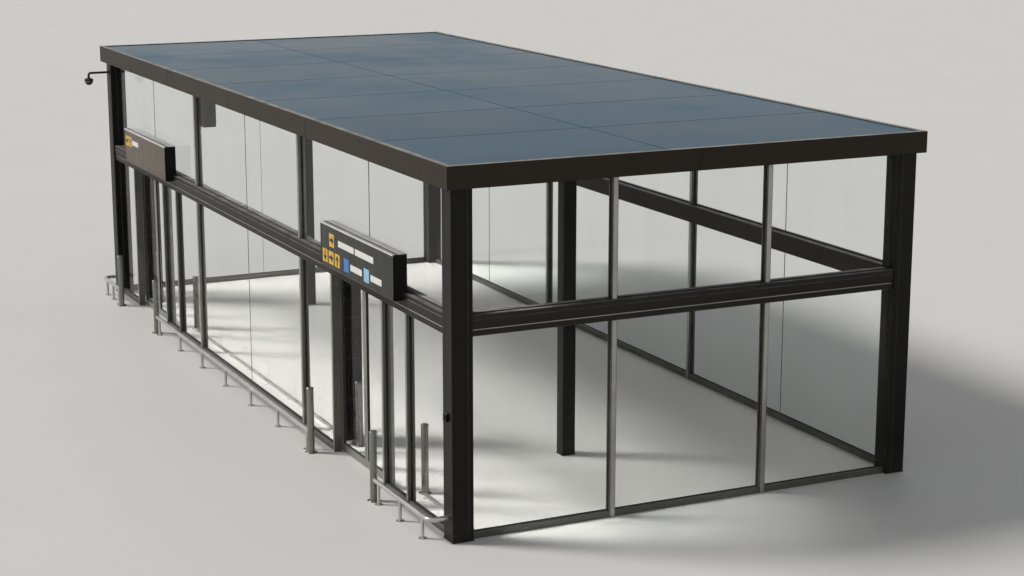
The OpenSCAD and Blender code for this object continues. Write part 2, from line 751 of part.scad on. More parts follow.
// A round housing with a sloped shoulder, and the dome under it
module camera_dome() color([0.2, 0.2, 0.2])
    translate([hall_x - camera_reach, camera_y, camera_z - arm_d - arm_foot - dome_h]) {
        shoulder = dome_h * 0.4;
        rotate_extrude() polygon([
            [0, 0], [dome_d / 2, 0], [dome_d / 2, dome_h - shoulder],
            [arm_d * 0.8, dome_h], [0, dome_h]
        ]);
        difference() {
            sphere(d = dome_d * 0.92);
            translate([0, 0, dome_d / 2]) cube(dome_d, center = true);
        }
    }

// Loudspeaker box on the middle slim post, under the edge beam
module speaker_box() color(steel)
    translate([hall_x + slim_set + slim_d, post_2 - speaker_w, beam_z - speaker_h])
        linear_extrude(speaker_h) round_square(speaker_w, speaker_w + slim_w / 2, 10);

roof_deck();
roof_beams();
fascia_hall();
fascia_facade();
fascia_near();
fascia_far();
corner_post_hall_near();
corner_post_hall_far();
corner_post_facade_near();
corner_post_facade_far();
inner_columns();
hall_posts();
facade_posts();
near_posts();
door_jambs();
transom_hall();
transom_facade();
transom_near();
base_rails();
lower_glass_hall();
upper_glass_hall();
lower_glass_facade();
upper_glass_facade();
lower_glass_near();
upper_glass_near();
glass_far();
near_door_near_leaf();
near_door_near_glass();
near_door_far_leaf();
near_door_far_glass();
far_door_near_leaf();
far_door_near_glass();
far_door_far_leaf();
far_door_far_glass();
sign_near();
sign_far();
guard_posts_hall();
guard_posts_inside();
bumper_rails();
kerb_rails();
air_curtain_near();
air_curtain_far();
camera_arm();
camera_dome();
speaker_box();
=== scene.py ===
# %% [markdown]
# # A glazed entrance lobby
#
# The lobby stands in a large hall, over the doors that lead outside. Its steel frame, glass,
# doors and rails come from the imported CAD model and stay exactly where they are. This script
# adds what a fitter and a painter would: gaskets, sealant, bolts, louvres, sign faces, and a
# material for every surface. All lengths are in metres.

# %% Load the frame
import math

import bmesh
import bpy
from mathutils import Matrix, Vector


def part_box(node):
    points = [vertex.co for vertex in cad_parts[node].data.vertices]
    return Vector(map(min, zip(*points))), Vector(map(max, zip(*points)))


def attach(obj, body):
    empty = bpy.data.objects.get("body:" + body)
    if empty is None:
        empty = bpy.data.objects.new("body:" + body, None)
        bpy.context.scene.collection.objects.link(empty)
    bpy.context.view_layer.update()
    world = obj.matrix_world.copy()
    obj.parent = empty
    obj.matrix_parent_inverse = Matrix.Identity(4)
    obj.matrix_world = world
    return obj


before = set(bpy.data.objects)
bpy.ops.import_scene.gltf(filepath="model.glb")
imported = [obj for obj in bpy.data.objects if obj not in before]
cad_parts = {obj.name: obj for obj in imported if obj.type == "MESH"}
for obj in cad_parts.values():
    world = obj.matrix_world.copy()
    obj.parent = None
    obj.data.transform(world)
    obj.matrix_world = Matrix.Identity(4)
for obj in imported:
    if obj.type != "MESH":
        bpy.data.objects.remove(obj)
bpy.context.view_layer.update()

# %% [markdown]
# ## Where things are
#
# The places in this script start from the boxes of the CAD nodes. The hall side faces -X, the
# facade side +X, and the lobby runs along Y from its near end to its far end. A few values
# name the planes that the pieces are set against.

# %% Places taken from the CAD nodes
X, Y, Z = 0, 1, 2
near_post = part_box("corner_post_hall_near")
far_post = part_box("corner_post_facade_far")
HALL_X, NEAR_Y = near_post[0].x, near_post[0].y
FACADE_X, FAR_Y = far_post[1].x, far_post[1].y
POST_SIDE = near_post[1].x - near_post[0].x
SIDE_X = (HALL_X + POST_SIDE, FACADE_X - POST_SIDE)
SIDE_Y = (NEAR_Y + POST_SIDE, FAR_Y - POST_SIDE)
ROOF_LO, ROOF_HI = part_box("roof_deck")
TRANSOM_LO, TRANSOM_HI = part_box("transom_hall")
RAIL_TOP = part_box("base_rails")[1].z
BEAM_Z = near_post[1].z
glass_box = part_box("upper_glass_hall")
GLASS_X = (glass_box[0].x + glass_box[1].x) / 2
GLASS_IN = GLASS_X - HALL_X
GLASS_T = glass_box[1].x - glass_box[0].x
print("hall face", round(HALL_X, 3), "near face", round(NEAR_Y, 3), "glass", round(GLASS_IN, 3), "in")

# %% [markdown]
# ## The camera
#
# The photograph was taken from a gallery above the hall floor. The camera stands on that
# same spot and turns until the whole lobby is in the picture, so every edge is seen at the
# photograph's angle. The lens is the longest that still leaves a margin round the lobby.

# %% Camera
STATION = Vector((-11.464, -26.5955, 7.6))
AIM = Vector((1.19, -0.29, 1.15))
LENS_MM = 70.0

scene = bpy.context.scene
camera_data = bpy.data.cameras.new("camera")
camera_data.lens = LENS_MM
camera_data.sensor_width = 36.0
camera_data.clip_end = 500.0
camera = bpy.data.objects.new("camera", camera_data)
camera.location = STATION
camera.rotation_euler = (AIM - STATION).to_track_quat("-Z", "Y").to_euler()
scene.collection.objects.link(camera)
scene.camera = camera
print("camera to lobby", round((AIM - STATION).length, 2), "m")

# %% [markdown]
# ## Light
#
# In the photograph the daylight comes in from the far left, so the long hall side and the
# roof are lit and the near end is in shade. One large soft lamp stands there, a weak one
# fills in from the camera's side, and the world gives the rest. What the camera, a mirror or
# a pane of glass sees of the world is a plain pale backdrop. The weak lamp hides from them,
# because its wide disc would show in the glass.

# %% Node helper
class Nodes:
    """Adds nodes to the tree of the world or of a material, and wires them up."""

    def __init__(self, tree):
        self.tree = tree

    def feed(self, socket, value):
        """Links an output to a socket, or sets the socket's number, colour or vector."""
        if isinstance(value, bpy.types.NodeSocket):
            self.tree.links.new(value, socket)
        else:
            socket.default_value = (*value, 1.0) if socket.type == "RGBA" else value

    def node(self, kind, inputs, output=0, **settings):
        """Adds a node, makes its settings, feeds its inputs and returns one of its outputs."""
        node = self.tree.nodes.new("ShaderNode" + kind)
        for name, setting in settings.items():
            setattr(node, name, setting)
        for name, value in inputs.items():
            self.feed(node.inputs[name], value)
        return node.outputs[output] if len(node.outputs) else None

    def calc(self, operation, *values):
        return self.node("Math", dict(enumerate(values)), operation=operation)


# %% World and lamps
BACKDROP = (0.597, 0.591, 0.574)
AMBIENT = (0.93, 0.96, 1.0)
AMBIENT_STRENGTH = 0.25

scene.view_settings.view_transform = "Standard"
world = bpy.data.worlds.new("studio")
world.use_nodes = True
world.node_tree.nodes.clear()
studio = Nodes(world.node_tree)
ambient = studio.node("Background", {"Color": AMBIENT, "Strength": AMBIENT_STRENGTH})
backdrop = studio.node("Background", {"Color": BACKDROP})
seen = studio.node("LightPath", {}, "Is Camera Ray")
for kind in ("Is Glossy Ray", "Is Transmission Ray"):
    seen = studio.calc("MAXIMUM", seen, studio.node("LightPath", {}, kind))
both = studio.node("MixShader", {0: seen, 1: ambient, 2: backdrop})
studio.node("OutputWorld", {"Surface": both})
scene.world = world


def add_sun(name, toward, strength, softness, colour):
    """A sun lamp that shines along the direction toward."""
    data = bpy.data.lights.new(name, "SUN")
    data.energy = strength
    data.angle = math.radians(softness)
    data.color = colour
    lamp = bpy.data.objects.new(name, data)
    lamp.rotation_euler = Vector(toward).to_track_quat("-Z", "Y").to_euler()
    scene.collection.objects.link(lamp)
    return lamp


add_sun("daylight", (0.66, -0.46, -0.70), 2.65, 16.0, (1.0, 0.975, 0.94))
fill = add_sun("fill", (0.25, 0.85, -0.45), 0.16, 60.0, (0.92, 0.96, 1.0))
fill.visible_glossy = False
fill.visible_transmission = False

# %% [markdown]
# ## Materials
#
# A real surface is never one colour. Each material starts from the colour in the photograph
# and adds what that finish has: brushing, orange peel in paint, dust, water marks or scuffs.
# Some of it is painted light: the pale dust on top faces also paints light falling on the
# tops, and the roof's bands and haze are painted reflections. All of it is noise on Object
# coordinates, so it stays in place on the lobby.

# %% Material helper
def tone(colour, factor):
    return tuple(min(1.0, channel * factor) for channel in colour)


class Finish(Nodes):
    """A new material, with its Principled shader and patterns on Object coordinates."""

    def __init__(self, name):
        self.material = bpy.data.materials.new(name)
        self.material.use_nodes = True
        super().__init__(self.material.node_tree)
        self.shader = self.tree.nodes["Principled BSDF"]
        self.place = self.node("TexCoord", {}, "Object")

    def set(self, name, value):
        self.feed(self.shader.inputs[name], value)

    def noise(self, scale, detail=4.0, roughness=0.55, stretch=None):
        """Cloudy noise, drawn out along an axis where stretch is below 1."""
        place = self.node("Mapping", {"Vector": self.place, "Scale": stretch}) if stretch else self.place
        return self.node("TexNoise", {"Vector": place, "Scale": scale, "Detail": detail,
                                      "Roughness": roughness}, "Fac")

    def remap(self, value, low, high, to_low=0.0, to_high=1.0):
        return self.node("MapRange", {"Value": value, "From Min": low, "From Max": high,
                                      "To Min": to_low, "To Max": to_high})

    def mixed(self, factor, first, second):
        """A colour between first and second, each a colour or an output."""
        return self.node("Mix", {0: factor, 6: first, 7: second}, 2, data_type="RGBA")

    def part_of(self, vector, axis):
        return self.node("SeparateXYZ", {0: vector}, axis)

    def upward(self, low, high):
        """1 where a face looks up, 0 where it doesn't, with a soft change from low to high."""
        normal = self.node("NewGeometry", {}, "True Normal")
        return self.remap(self.part_of(normal, "Z"), low, high)

    def bump(self, height, distance, strength=1.0):
        self.set("Normal", self.node("Bump", {"Strength": strength, "Distance": distance,
                                              "Height": height}))


# %% Material: painted metal, for the frame, the fascia and the cases
DUST_AND_TOP_LIGHT = (0.55, 0.53, 0.50)
SCUFF = (0.26, 0.25, 0.24)
SCUFFED_UP_TO = 0.45
ORANGE_PEEL = 0.00015


def painted(name, colour, roughness, top_dust_and_light=0.35, gloss=1.42):
    """Powder-coated metal: broad changes of tone, pale dust with painted light on top, scuffs near the
    floor.
    """
    coat = Finish(name)
    broad = coat.remap(coat.noise(0.9, 3.0), 0.3, 0.7)
    fine = coat.noise(22.0)
    body = coat.mixed(broad, tone(colour, 0.88), tone(colour, 1.12))
    mottle = coat.mixed(coat.remap(fine, 0.45, 0.75, 0.0, 0.25), body, tone(colour, 1.16))
    # Pale patches on faces that look up: dust, and painted light where light falls on the tops.
    dust_and_light_patches = coat.remap(coat.noise(3.5, 6.0), 0.3, 0.7, 0.3 * top_dust_and_light, top_dust_and_light)
    dusty_and_top_lit = coat.mixed(coat.calc("MULTIPLY", coat.upward(0.5, 0.95), dust_and_light_patches), mottle, DUST_AND_TOP_LIGHT)
    low_down = coat.remap(coat.part_of(coat.place, "Z"), 0.0, SCUFFED_UP_TO, 1.0, 0.0)
    streaks = coat.remap(coat.noise(70.0, 8.0, 0.72, (1.0, 1.0, 0.6)), 0.5, 0.72, 0.0, 0.30)
    coat.set("Base Color", coat.mixed(coat.calc("MULTIPLY", low_down, streaks), dusty_and_top_lit, SCUFF))
    coat.set("Roughness", coat.remap(fine, 0.3, 0.75, roughness - 0.02, roughness + 0.06))
    coat.set("IOR", gloss)
    coat.bump(coat.noise(320.0, 2.0), ORANGE_PEEL)
    return coat.material


# %% Material: brushed metal, for posts, rails and guards
BRUSH_LONG = 6.0
BRUSH_FINE = 420.0


def brushed(name, colour, roughness, along, metallic=0.9):
    """Metal with fine lines along one axis, handled areas and water marks."""
    metal = Finish(name)
    lines = tuple(BRUSH_LONG if axis == along else BRUSH_FINE for axis in "xyz")
    brushing = metal.noise(1.0, 3.0, 0.6, lines)
    cloudy = metal.remap(metal.noise(2.6, 5.0, 0.6), 0.35, 0.7)
    base = metal.mixed(cloudy, tone(colour, 0.84), tone(colour, 1.1))
    lined = metal.mixed(metal.remap(brushing, 0.3, 0.75, 0.0, 0.35), base, tone(colour, 0.62))
    metal.set("Base Color", lined)
    metal.set("Metallic", metallic)
    metal.set("Roughness", metal.remap(brushing, 0.3, 0.7, roughness - 0.06, roughness + 0.12))
    metal.bump(brushing, 0.0003)
    return metal.material


# %% Material: the roof sheets
SOFFIT_GREY = (0.115, 0.115, 0.112)
ROOF_REFLECTION_DARK = (0.009, 0.060, 0.108)
ROOF_REFLECTION_PALE = (0.055, 0.155, 0.225)
ROW_OFFSET = 11.3


def roof_sheet(name, colour, row, joint_x):
    """Glossy sheets, each with its own tone, under painted reflections: soft bands and a pale haze; grey
    below.
    """
    sheet = Finish(name)
    along = sheet.calc("SUBTRACT", sheet.part_of(sheet.place, "Y"), ROOF_LO.y)
    row_number = sheet.calc("FLOOR", sheet.calc("DIVIDE", along, row))
    side = sheet.calc("GREATER_THAN", sheet.part_of(sheet.place, "X"), joint_x)
    cassette = sheet.calc("ADD", sheet.calc("MULTIPLY", side, ROW_OFFSET), row_number)
    chance = sheet.node("TexWhiteNoise", {"W": cassette}, "Value", noise_dimensions="1D")
    panel = sheet.mixed(chance, tone(colour, 0.90), tone(colour, 1.14))
    # Painted reflections: soft darker bands and a pale haze, as a glossy roof mirrors what is around it.
    reflection_bands = sheet.remap(sheet.noise(1.5, 1.0, 0.4, (0.10, 0.42, 1.0)), 0.40, 0.60)
    reflection_banded = sheet.mixed(reflection_bands, ROOF_REFLECTION_DARK, panel)
    cloud = sheet.noise(1.1, 2.0, 0.5, (0.5, 0.35, 1.0))
    reflection_hazed = sheet.mixed(sheet.remap(cloud, 0.42, 0.72, 0.0, 0.30), reflection_banded, ROOF_REFLECTION_PALE)
    puddle = sheet.calc("SUBTRACT", sheet.noise(2.2, 3.0, 0.55, (1.0, 0.45, 1.0)), 0.52)
    puddle_edge = sheet.remap(sheet.calc("ABSOLUTE", puddle), 0.0, 0.015, 0.08, 0.0)
    marked = sheet.mixed(puddle_edge, reflection_hazed, tone(colour, 0.55))
    outer = sheet.upward(-0.3, 0.3)
    sheet.set("Base Color", sheet.mixed(outer, SOFFIT_GREY, marked))
    matt_below = sheet.calc("MULTIPLY", sheet.calc("SUBTRACT", 1.0, outer), 0.4)
    sheet.set("Roughness", sheet.calc("ADD", sheet.remap(cloud, 0.35, 0.75, 0.10, 0.26), matt_below))
    sheet.set("IOR", 1.06)
    sheet.bump(sheet.noise(1.0, 1.0, stretch=(0.8, 0.5, 1.0)), 0.003, 0.35)
    return sheet.material


# %% Material: glass
GLASS_SMUDGE = 0.03


def pane_glass(name, tint):
    """Clear glass with a faint film; lamps shine through it by way of a transparent shader."""
    pane = Finish(name)
    film = pane.noise(1.6, 4.0, 0.5, (0.8, 0.8, 0.6))
    pane.set("Base Color", pane.mixed(pane.remap(film, 0.4, 0.8), tint, tone(tint, 0.965)))
    pane.set("Roughness", pane.remap(film, 0.4, 0.8, 0.0, GLASS_SMUDGE))
    pane.set("Transmission Weight", 1.0)
    pane.set("IOR", 1.08)
    clear = pane.node("BsdfTransparent", {"Color": tone(tint, 0.97)})
    shadow = pane.node("LightPath", {}, "Is Shadow Ray")
    surface = pane.node("MixShader", {0: shadow, 1: pane.shader.outputs[0], 2: clear})
    pane.feed(pane.tree.nodes["Material Output"].inputs["Surface"], surface)
    return pane.material


# %% Material: rubber, sealant and sign sheets
def matt_rubber(name, colour):
    rubber = Finish(name)
    grain = rubber.noise(60.0, 5.0, 0.7)
    rubber.set("Base Color", rubber.mixed(grain, tone(colour, 0.7), tone(colour, 1.5)))
    rubber.set("Roughness", rubber.remap(grain, 0.3, 0.7, 0.62, 0.85))
    rubber.bump(grain, 0.0004)
    return rubber.material


def printed(name, colour):
    """A printed sheet with a dull sheen, a little uneven in tone."""
    sheet = Finish(name)
    cloud = sheet.noise(6.0)
    sheet.set("Base Color", sheet.mixed(cloud, tone(colour, 0.9), tone(colour, 1.1)))
    sheet.set("Roughness", sheet.remap(cloud, 0.3, 0.7, 0.27, 0.45))
    sheet.set("IOR", 1.25)
    sheet.bump(sheet.noise(90.0, 2.0), 0.0002)
    return sheet.material


# %% The palette, as the photograph shows it
SATIN = (0.130, 0.128, 0.112)
BRIGHT = (0.40, 0.395, 0.375)
ROOF_ROWS = 7

roof_row = (ROOF_HI.y - ROOF_LO.y) / ROOF_ROWS
spine_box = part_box("inner_columns")
SPINE_X = (spine_box[0].x + spine_box[1].x) / 2

look = {
    "roof_panel": roof_sheet("roof coating", (0.014, 0.068, 0.118), roof_row, SPINE_X),
    "dark_steel": painted("black steel paint", (0.0100, 0.0098, 0.0088), 0.36, gloss=1.22),
    "fascia_metal": painted("taupe coating", (0.031, 0.0245, 0.0175), 0.40, top_dust_and_light=0.6, gloss=1.18),
    "transom_metal": painted("transom coating", (0.031, 0.028, 0.023), 0.36, top_dust_and_light=0.5, gloss=1.15),
    "satin_upright": brushed("satin aluminium upright", SATIN, 0.36, "z", 0.55),
    # A lighter copy of the satin aluminium, which paints light on the shaded faces of the hall posts and
    # leaves.
    "satin_upright_painted_lit": brushed("satin upright painted lit", (0.27, 0.265, 0.24), 0.38, "z", 0.35),
    "satin_along": brushed("satin aluminium rail", SATIN, 0.36, "y", 0.55),
    # Brighter aluminium for the caps and locks; on the caps it also paints a highlight.
    "bright_upright_and_highlight": brushed("bright cap upright and painted highlight", BRIGHT, 0.30, "z"),
    "bright_along": brushed("bright strip", BRIGHT, 0.32, "y"),
    "guard_steel": brushed("guard post steel", (0.27, 0.265, 0.245), 0.24, "z"),
    "stainless_along": brushed("stainless rail", (0.62, 0.61, 0.59), 0.26, "y"),
    "glass": pane_glass("window glass", (0.968, 0.982, 0.978)),
    "door_glass": pane_glass("door glass", (0.975, 0.986, 0.983)),
    "sign_case": painted("sign case paint", (0.034, 0.034, 0.031), 0.40, top_dust_and_light=0.5, gloss=1.30),
    "cabinet": painted("cabinet paint", (0.0075, 0.0075, 0.008), 0.48, top_dust_and_light=0.25, gloss=1.20),
    "dome_plastic": painted("dome plastic", (0.008, 0.008, 0.009), 0.12, top_dust_and_light=0.05),
    "ledge_metal_and_top_light": brushed("ledge aluminium with painted top light", (0.76, 0.76, 0.75), 0.38, "y", 0.35),
    "weld_metal": brushed("weld bead", (0.34, 0.33, 0.31), 0.42, "z"),
    "bolt_metal": brushed("bolt steel", (0.50, 0.50, 0.49), 0.30, "z"),
    "grille_black": painted("grille paint", (0.008, 0.008, 0.008), 0.55, top_dust_and_light=0.15, gloss=1.25),
    "vane_grey": painted("vane coating", (0.045, 0.045, 0.046), 0.40),
    "sign_near_sheet": printed("charcoal sign sheet", (0.030, 0.031, 0.026)),
    "sign_far_sheet": printed("taupe sign sheet", (0.105, 0.084, 0.065)),
    "ink_yellow": printed("yellow tile", (0.74, 0.44, 0.05)),
    "ink_blue": printed("blue tile", (0.06, 0.20, 0.52)),
    "ink_pale_blue": printed("pale blue tile", (0.30, 0.52, 0.70)),
    "ink_white": printed("white print", (0.74, 0.74, 0.70)),
    "arrow_black": printed("black print", (0.03, 0.03, 0.03)),
    "rubber": matt_rubber("black rubber", (0.018, 0.018, 0.018)),
    "sealant": matt_rubber("grey sealant", (0.10, 0.10, 0.10)),
}
print(len(look), "materials")

# %% [markdown]
# ## Dressing the CAD nodes
#
# Every CAD node keeps its mesh and only gets a better material. The table gives the words
# that pick out the nodes of each finish. Posts and rails are brushed in different directions.

# %% Materials on the CAD nodes
NODE_LOOKS = {
    "roof_panel": ("roof_deck",),
    "dark_steel": ("roof_beams", "corner_post", "inner_columns", "camera_arm"),
    "fascia_metal": ("fascia_",),
    "transom_metal": ("transom_",),
    "satin_upright": ("facade_posts", "near_posts", "door_jambs"),
    # The hall posts and leaves get the lighter copy, which paints light on their shaded faces.
    "satin_upright_painted_lit": ("hall_posts", "_leaf"),
    "satin_along": ("base_rails",),
    "guard_steel": ("guard_posts",),
    "stainless_along": ("bumper_rails", "kerb_rails"),
    "glass": ("glass_",),
    "door_glass": ("door_near_glass", "door_far_glass"),
    "sign_case": ("sign_",),
    "cabinet": ("air_curtain", "speaker_box"),
    "dome_plastic": ("camera_dome",),
}
dressed = 0
for finish, words in NODE_LOOKS.items():
    for node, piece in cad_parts.items():
        if any(word in node for word in words):
            piece.data.materials.clear()
            piece.data.materials.append(look[finish])
            dressed += 1
print(dressed, "of", len(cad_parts), "nodes dressed")

# %% [markdown]
# ## Helpers for new pieces
#
# New pieces are modelled as by hand: a primitive is added at its size, shaped in edit mode,
# and finished with a bevel. Everything is deselected first, because an operator acts on all
# that is selected.

# %% Modelling helpers
BEVEL_STEPS = 2
BEVEL_FROM = math.radians(40)
SMOOTH_BELOW = math.radians(35)


def deselect_all():
    bpy.ops.object.select_all(action="DESELECT")


def settled():
    """The new primitive, with its place, turn and size moved into its mesh."""
    bpy.ops.object.transform_apply()
    return bpy.context.object


def start_box(low, high):
    """A box between two corners, the start of a piece."""
    deselect_all()
    low, high = Vector(low), Vector(high)
    bpy.ops.mesh.primitive_cube_add(size=1.0, location=(low + high) / 2)
    bpy.context.object.scale = high - low
    return settled()


def start_cylinder(centre, radius, depth, sides, turn=(0, 0, 0)):
    deselect_all()
    bpy.ops.mesh.primitive_cylinder_add(vertices=sides, radius=radius, depth=depth,
                                        location=centre, rotation=turn)
    return settled()


def choose_faces(piece, test):
    """Selects the faces that pass a test on their centre and normal, in edit mode."""
    bpy.ops.object.mode_set(mode="EDIT")
    bpy.ops.mesh.select_mode(type="FACE")
    shape = bmesh.from_edit_mesh(piece.data)
    for face in shape.faces:
        face.select = test(face.calc_center_median(), face.normal)
    bmesh.update_edit_mesh(piece.data)


def leave_edit():
    bpy.ops.object.mode_set(mode="OBJECT")


def rounded(piece, width):
    """Applies a bevel to the sharp edges and shades the result smooth."""
    bpy.context.view_layer.objects.active = piece
    modifier = piece.modifiers.new("edges", "BEVEL")
    modifier.width = width
    modifier.segments = BEVEL_STEPS
    modifier.limit_method = "ANGLE"
    modifier.angle_limit = BEVEL_FROM
    bpy.ops.object.modifier_apply(modifier=modifier.name)
    bpy.ops.object.shade_smooth_by_angle(angle=SMOOTH_BELOW)
    return piece


# %% Copies, joining and fitting
def copy_by(piece, matrix):
    """A copy with its own mesh, moved within that mesh."""
    twin = piece.copy()
    twin.data = piece.data.copy()
    twin.data.transform(matrix)
    scene.collection.objects.link(twin)
    return twin


def copy_to(piece, offset):
    return copy_by(piece, Matrix.Translation(offset))


def set_down(piece, place, upward_axis=(0, 0, 1)):
    """A copy of a part modelled on Z, turned so that its Z points along an axis, and moved."""
    turn = Vector(upward_axis).to_track_quat("Z", "X").to_matrix().to_4x4()
    return copy_by(piece, Matrix.Translation(place) @ turn)


def discard(*pieces):
    for piece in pieces:
        bpy.data.objects.remove(piece, do_unlink=True)


def joined(parts):
    """One object from several, with its origin at the frame's origin."""
    deselect_all()
    for part in parts:
        part.select_set(True)
    bpy.context.view_layer.objects.active = parts[0]
    if len(parts) > 1:
        bpy.ops.object.join()
    return bpy.context.object


def fit(name, parts, finish, body="frame"):
    """Joins the parts and gives the piece its material and the body it rides on."""
    piece = joined(parts)
    piece.name = name
    piece.data.materials.clear()
    piece.data.materials.append(look[finish])
    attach(piece, body)
    print(piece.name, len(piece.data.polygons), "faces")


# %% [markdown]
# ## Reading single solids out of a node
#
# One CAD node can hold several solids, such as the sheets of the lower hall glass. The boxes
# of those solids say where a gasket or a bolt belongs. A CAD mesh is loose triangles, so a
# copy is merged first, and then each group of connected corners is one solid.

# %% Boxes of the solids in a node
def solids(node):
    """The lowest and highest corner of each solid of a CAD node, sorted along X, then Y."""
    shape = bmesh.new()
    shape.from_mesh(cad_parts[node].data)
    bmesh.ops.remove_doubles(shape, verts=shape.verts, dist=1e-5)
    waiting = set(shape.verts)
    boxes = []
    while waiting:
        group = [waiting.pop()]
        for corner in group:
            for edge in corner.link_edges:
                other = edge.other_vert(corner)
                if other in waiting:
                    waiting.discard(other)
                    group.append(other)
        boxes.append(tuple(Vector([pick(corner.co[i] for corner in group) for i in range(3)])
                           for pick in (min, max)))
    shape.free()
    return sorted(boxes, key=lambda pair: tuple(round(value, 4) for value in pair[0]))


print(len(solids("lower_glass_hall")), "sheets in the lower hall glass")

# %% [markdown]
# ## Shapes that repeat
#
# Most trim on a building is one of three shapes: a rectangular ring round an opening, a plate
# with a raised or sunk field, and a round part that is turned. Each gets a helper, so that
# the pieces below are only their sizes and places. Trim on a wall is given by its ranges
# across the wall, along it and upwards, so one line serves the long sides and the short ones.

# %% Helpers: ring, stepped plate, turned part
FACING = 0.9


def wall_box(axis, across, along, up):
    """The low and high corner of a box on a wall that faces along an axis."""
    return tuple(zip(across, along, up) if axis == X else zip(along, across, up))


def facing(axis, side):
    return Vector([side if i == axis else 0 for i in range(3)])


UP = facing(Z, 1)


def ring(axis, low, high, border, edge=0.0015):
    """A rectangular ring: a box with a hole along one axis, as wide as the border leaves it."""
    piece = start_box(low, high)
    choose_faces(piece, lambda centre, normal: abs(normal[axis]) > FACING)
    bpy.ops.mesh.inset(thickness=border)
    bpy.ops.mesh.bridge_edge_loops()
    leave_edit()
    return rounded(piece, edge)


def stepped(low, high, outward, margin, rise, edge=0.001):
    """A plate whose face towards outward has a field raised by rise, or sunk if it is negative."""
    piece = start_box(low, high)
    choose_faces(piece, lambda centre, normal: normal.dot(outward) > FACING)
    bpy.ops.mesh.inset(thickness=margin)
    bpy.ops.transform.translate(value=outward * rise)
    leave_edit()
    return rounded(piece, edge)


def strip(axis, side, face, thick, along, up, margin, rise, edge=0.001):
    """A stepped plate that stands on a face of a wall and looks out from it."""
    across = sorted((face, face + side * thick))
    return stepped(*wall_box(axis, across, along, up), facing(axis, side), margin, rise, edge)


def turned(steps, sides=24):
    """A round part on Z from (radius, height) steps, bottom first, closed at both ends."""
    radius, height = steps[0]
    piece = start_cylinder((0, 0, height + 0.0005), radius, 0.001, sides)
    choose_faces(piece, lambda centre, normal: normal.z > FACING)
    height += 0.001
    for next_radius, next_height in steps[1:]:
        bpy.ops.mesh.extrude_region_move(
            TRANSFORM_OT_translate={"value": (0, 0, next_height - height)})
        share = next_radius / radius
        bpy.ops.transform.resize(value=(share, share, 1))
        radius, height = next_radius, next_height
    leave_edit()
    bpy.ops.object.shade_smooth_by_angle(angle=SMOOTH_BELOW)
    return piece


def on_circle(count, first, radius):
    """Places spread evenly on a circle, the first at an angle in degrees."""
    angles = [math.radians(first + 360 / count * i) for i in range(count)]
    return [Vector((math.cos(angle), math.sin(angle), 0)) * radius for angle in angles]


# %% [markdown]
# ## Bolts, screws and rivets
#
# A hexagon head on a washer holds the feet of the guards, a flat dome rivet holds the fascia,
# and a small screw holds covers and plates. Each is turned once, at true scale, and copied to
# every place.

# %% The bolt, the screws and the rivet
BOLT_HEAD = 0.0085
RIVET_RADIUS = 0.006

washer = turned([(0.012, 0.0), (0.012, 0.0016), (0.0105, 0.0022)], 16)
head = turned([(BOLT_HEAD, 0.0022), (BOLT_HEAD, 0.0070), (0.0068, 0.0082)], 6)
bolt = joined([washer, head])
rivet = turned([(RIVET_RADIUS, 0.0), (RIVET_RADIUS, 0.0008), (0.0046, 0.0022), (0.0018, 0.0028)], 12)
small_screw = turned([(0.0035, 0.0), (0.0035, 0.0008), (0.0026, 0.0016)], 10)
cap_screw = turned([(0.0065, 0.0), (0.0065, 0.004), (0.0055, 0.005), (0.003, 0.005), (0.003, 0.003)], 14)
print("bolt", len(bolt.data.polygons), "faces, rivet", len(rivet.data.polygons))

# %% [markdown]
# ## Gaskets round the glass
#
# Glass never touches its frame: a black rubber gasket holds each sheet on both faces, and it
# draws a thin dark line round every pane. A ring along the daylight opening is enough, since
# the rest of a real gasket is hidden in the pocket. The openings come from the gaps between
# the posts and rails.

# %% Gaskets on the four sides
GASKET_OUT = 0.009
GASKET_SIGHT = 0.009
SEAT = 0.0002
LOWER = (RAIL_TOP, TRANSOM_LO.z)
UPPER = (TRANSOM_HI.z, BEAM_Z)


def openings_between(uprights, span, along):
    """The free stretches of a span between uprights."""
    stops = [span[0]]
    for low, high in sorted(uprights, key=lambda pair: pair[0][along]):
        stops += [low[along], high[along]]
    stops.append(span[1])
    return list(zip(stops[0::2], stops[1::2]))


def gasket_pair(axis, plane, along, up, thickness=GLASS_T):
    """Two rings, one on each face of the glass in a plane, round one opening."""
    pair = []
    for side in (-1, 1):
        face = plane + side * (thickness / 2 + SEAT)
        across = sorted((face, face + side * GASKET_OUT))
        pair.append(ring(axis, *wall_box(axis, across, along, up), GASKET_SIGHT))
    return pair


rails = solids("base_rails")
for side, axis, plane, span in (("hall", X, GLASS_X, SIDE_Y), ("facade", X, FACADE_X - GLASS_IN, SIDE_Y),
                                ("near", Y, NEAR_Y + GLASS_IN, SIDE_X)):
    along = 1 - axis
    lower_bays = [(low[along], high[along]) for low, high in rails if low[axis] < plane < high[axis]]
    upper_posts = [pair for pair in solids(side + "_posts") if pair[0].z > TRANSOM_LO.z]
    rings = []
    for bay in lower_bays:
        rings += gasket_pair(axis, plane, bay, LOWER)
    for bay in openings_between(upper_posts, span, along):
        rings += gasket_pair(axis, plane, bay, UPPER)
    fit("gaskets_" + side, rings, "rubber")
far_rings = gasket_pair(Y, FAR_Y - GLASS_IN, SIDE_X, (RAIL_TOP, BEAM_Z))
fit("gaskets_far", far_rings, "rubber")

# %% [markdown]
# ## Silicone between sheets
#
# Where two sheets of glass meet without a post, the fitter fills the joint with silicone. It
# is a dark upright line a few millimetres wide, slightly hollow where the tool passed.

# %% Silicone joints
JOINT_MOST = 0.02
JOINT_SUNK = 0.001

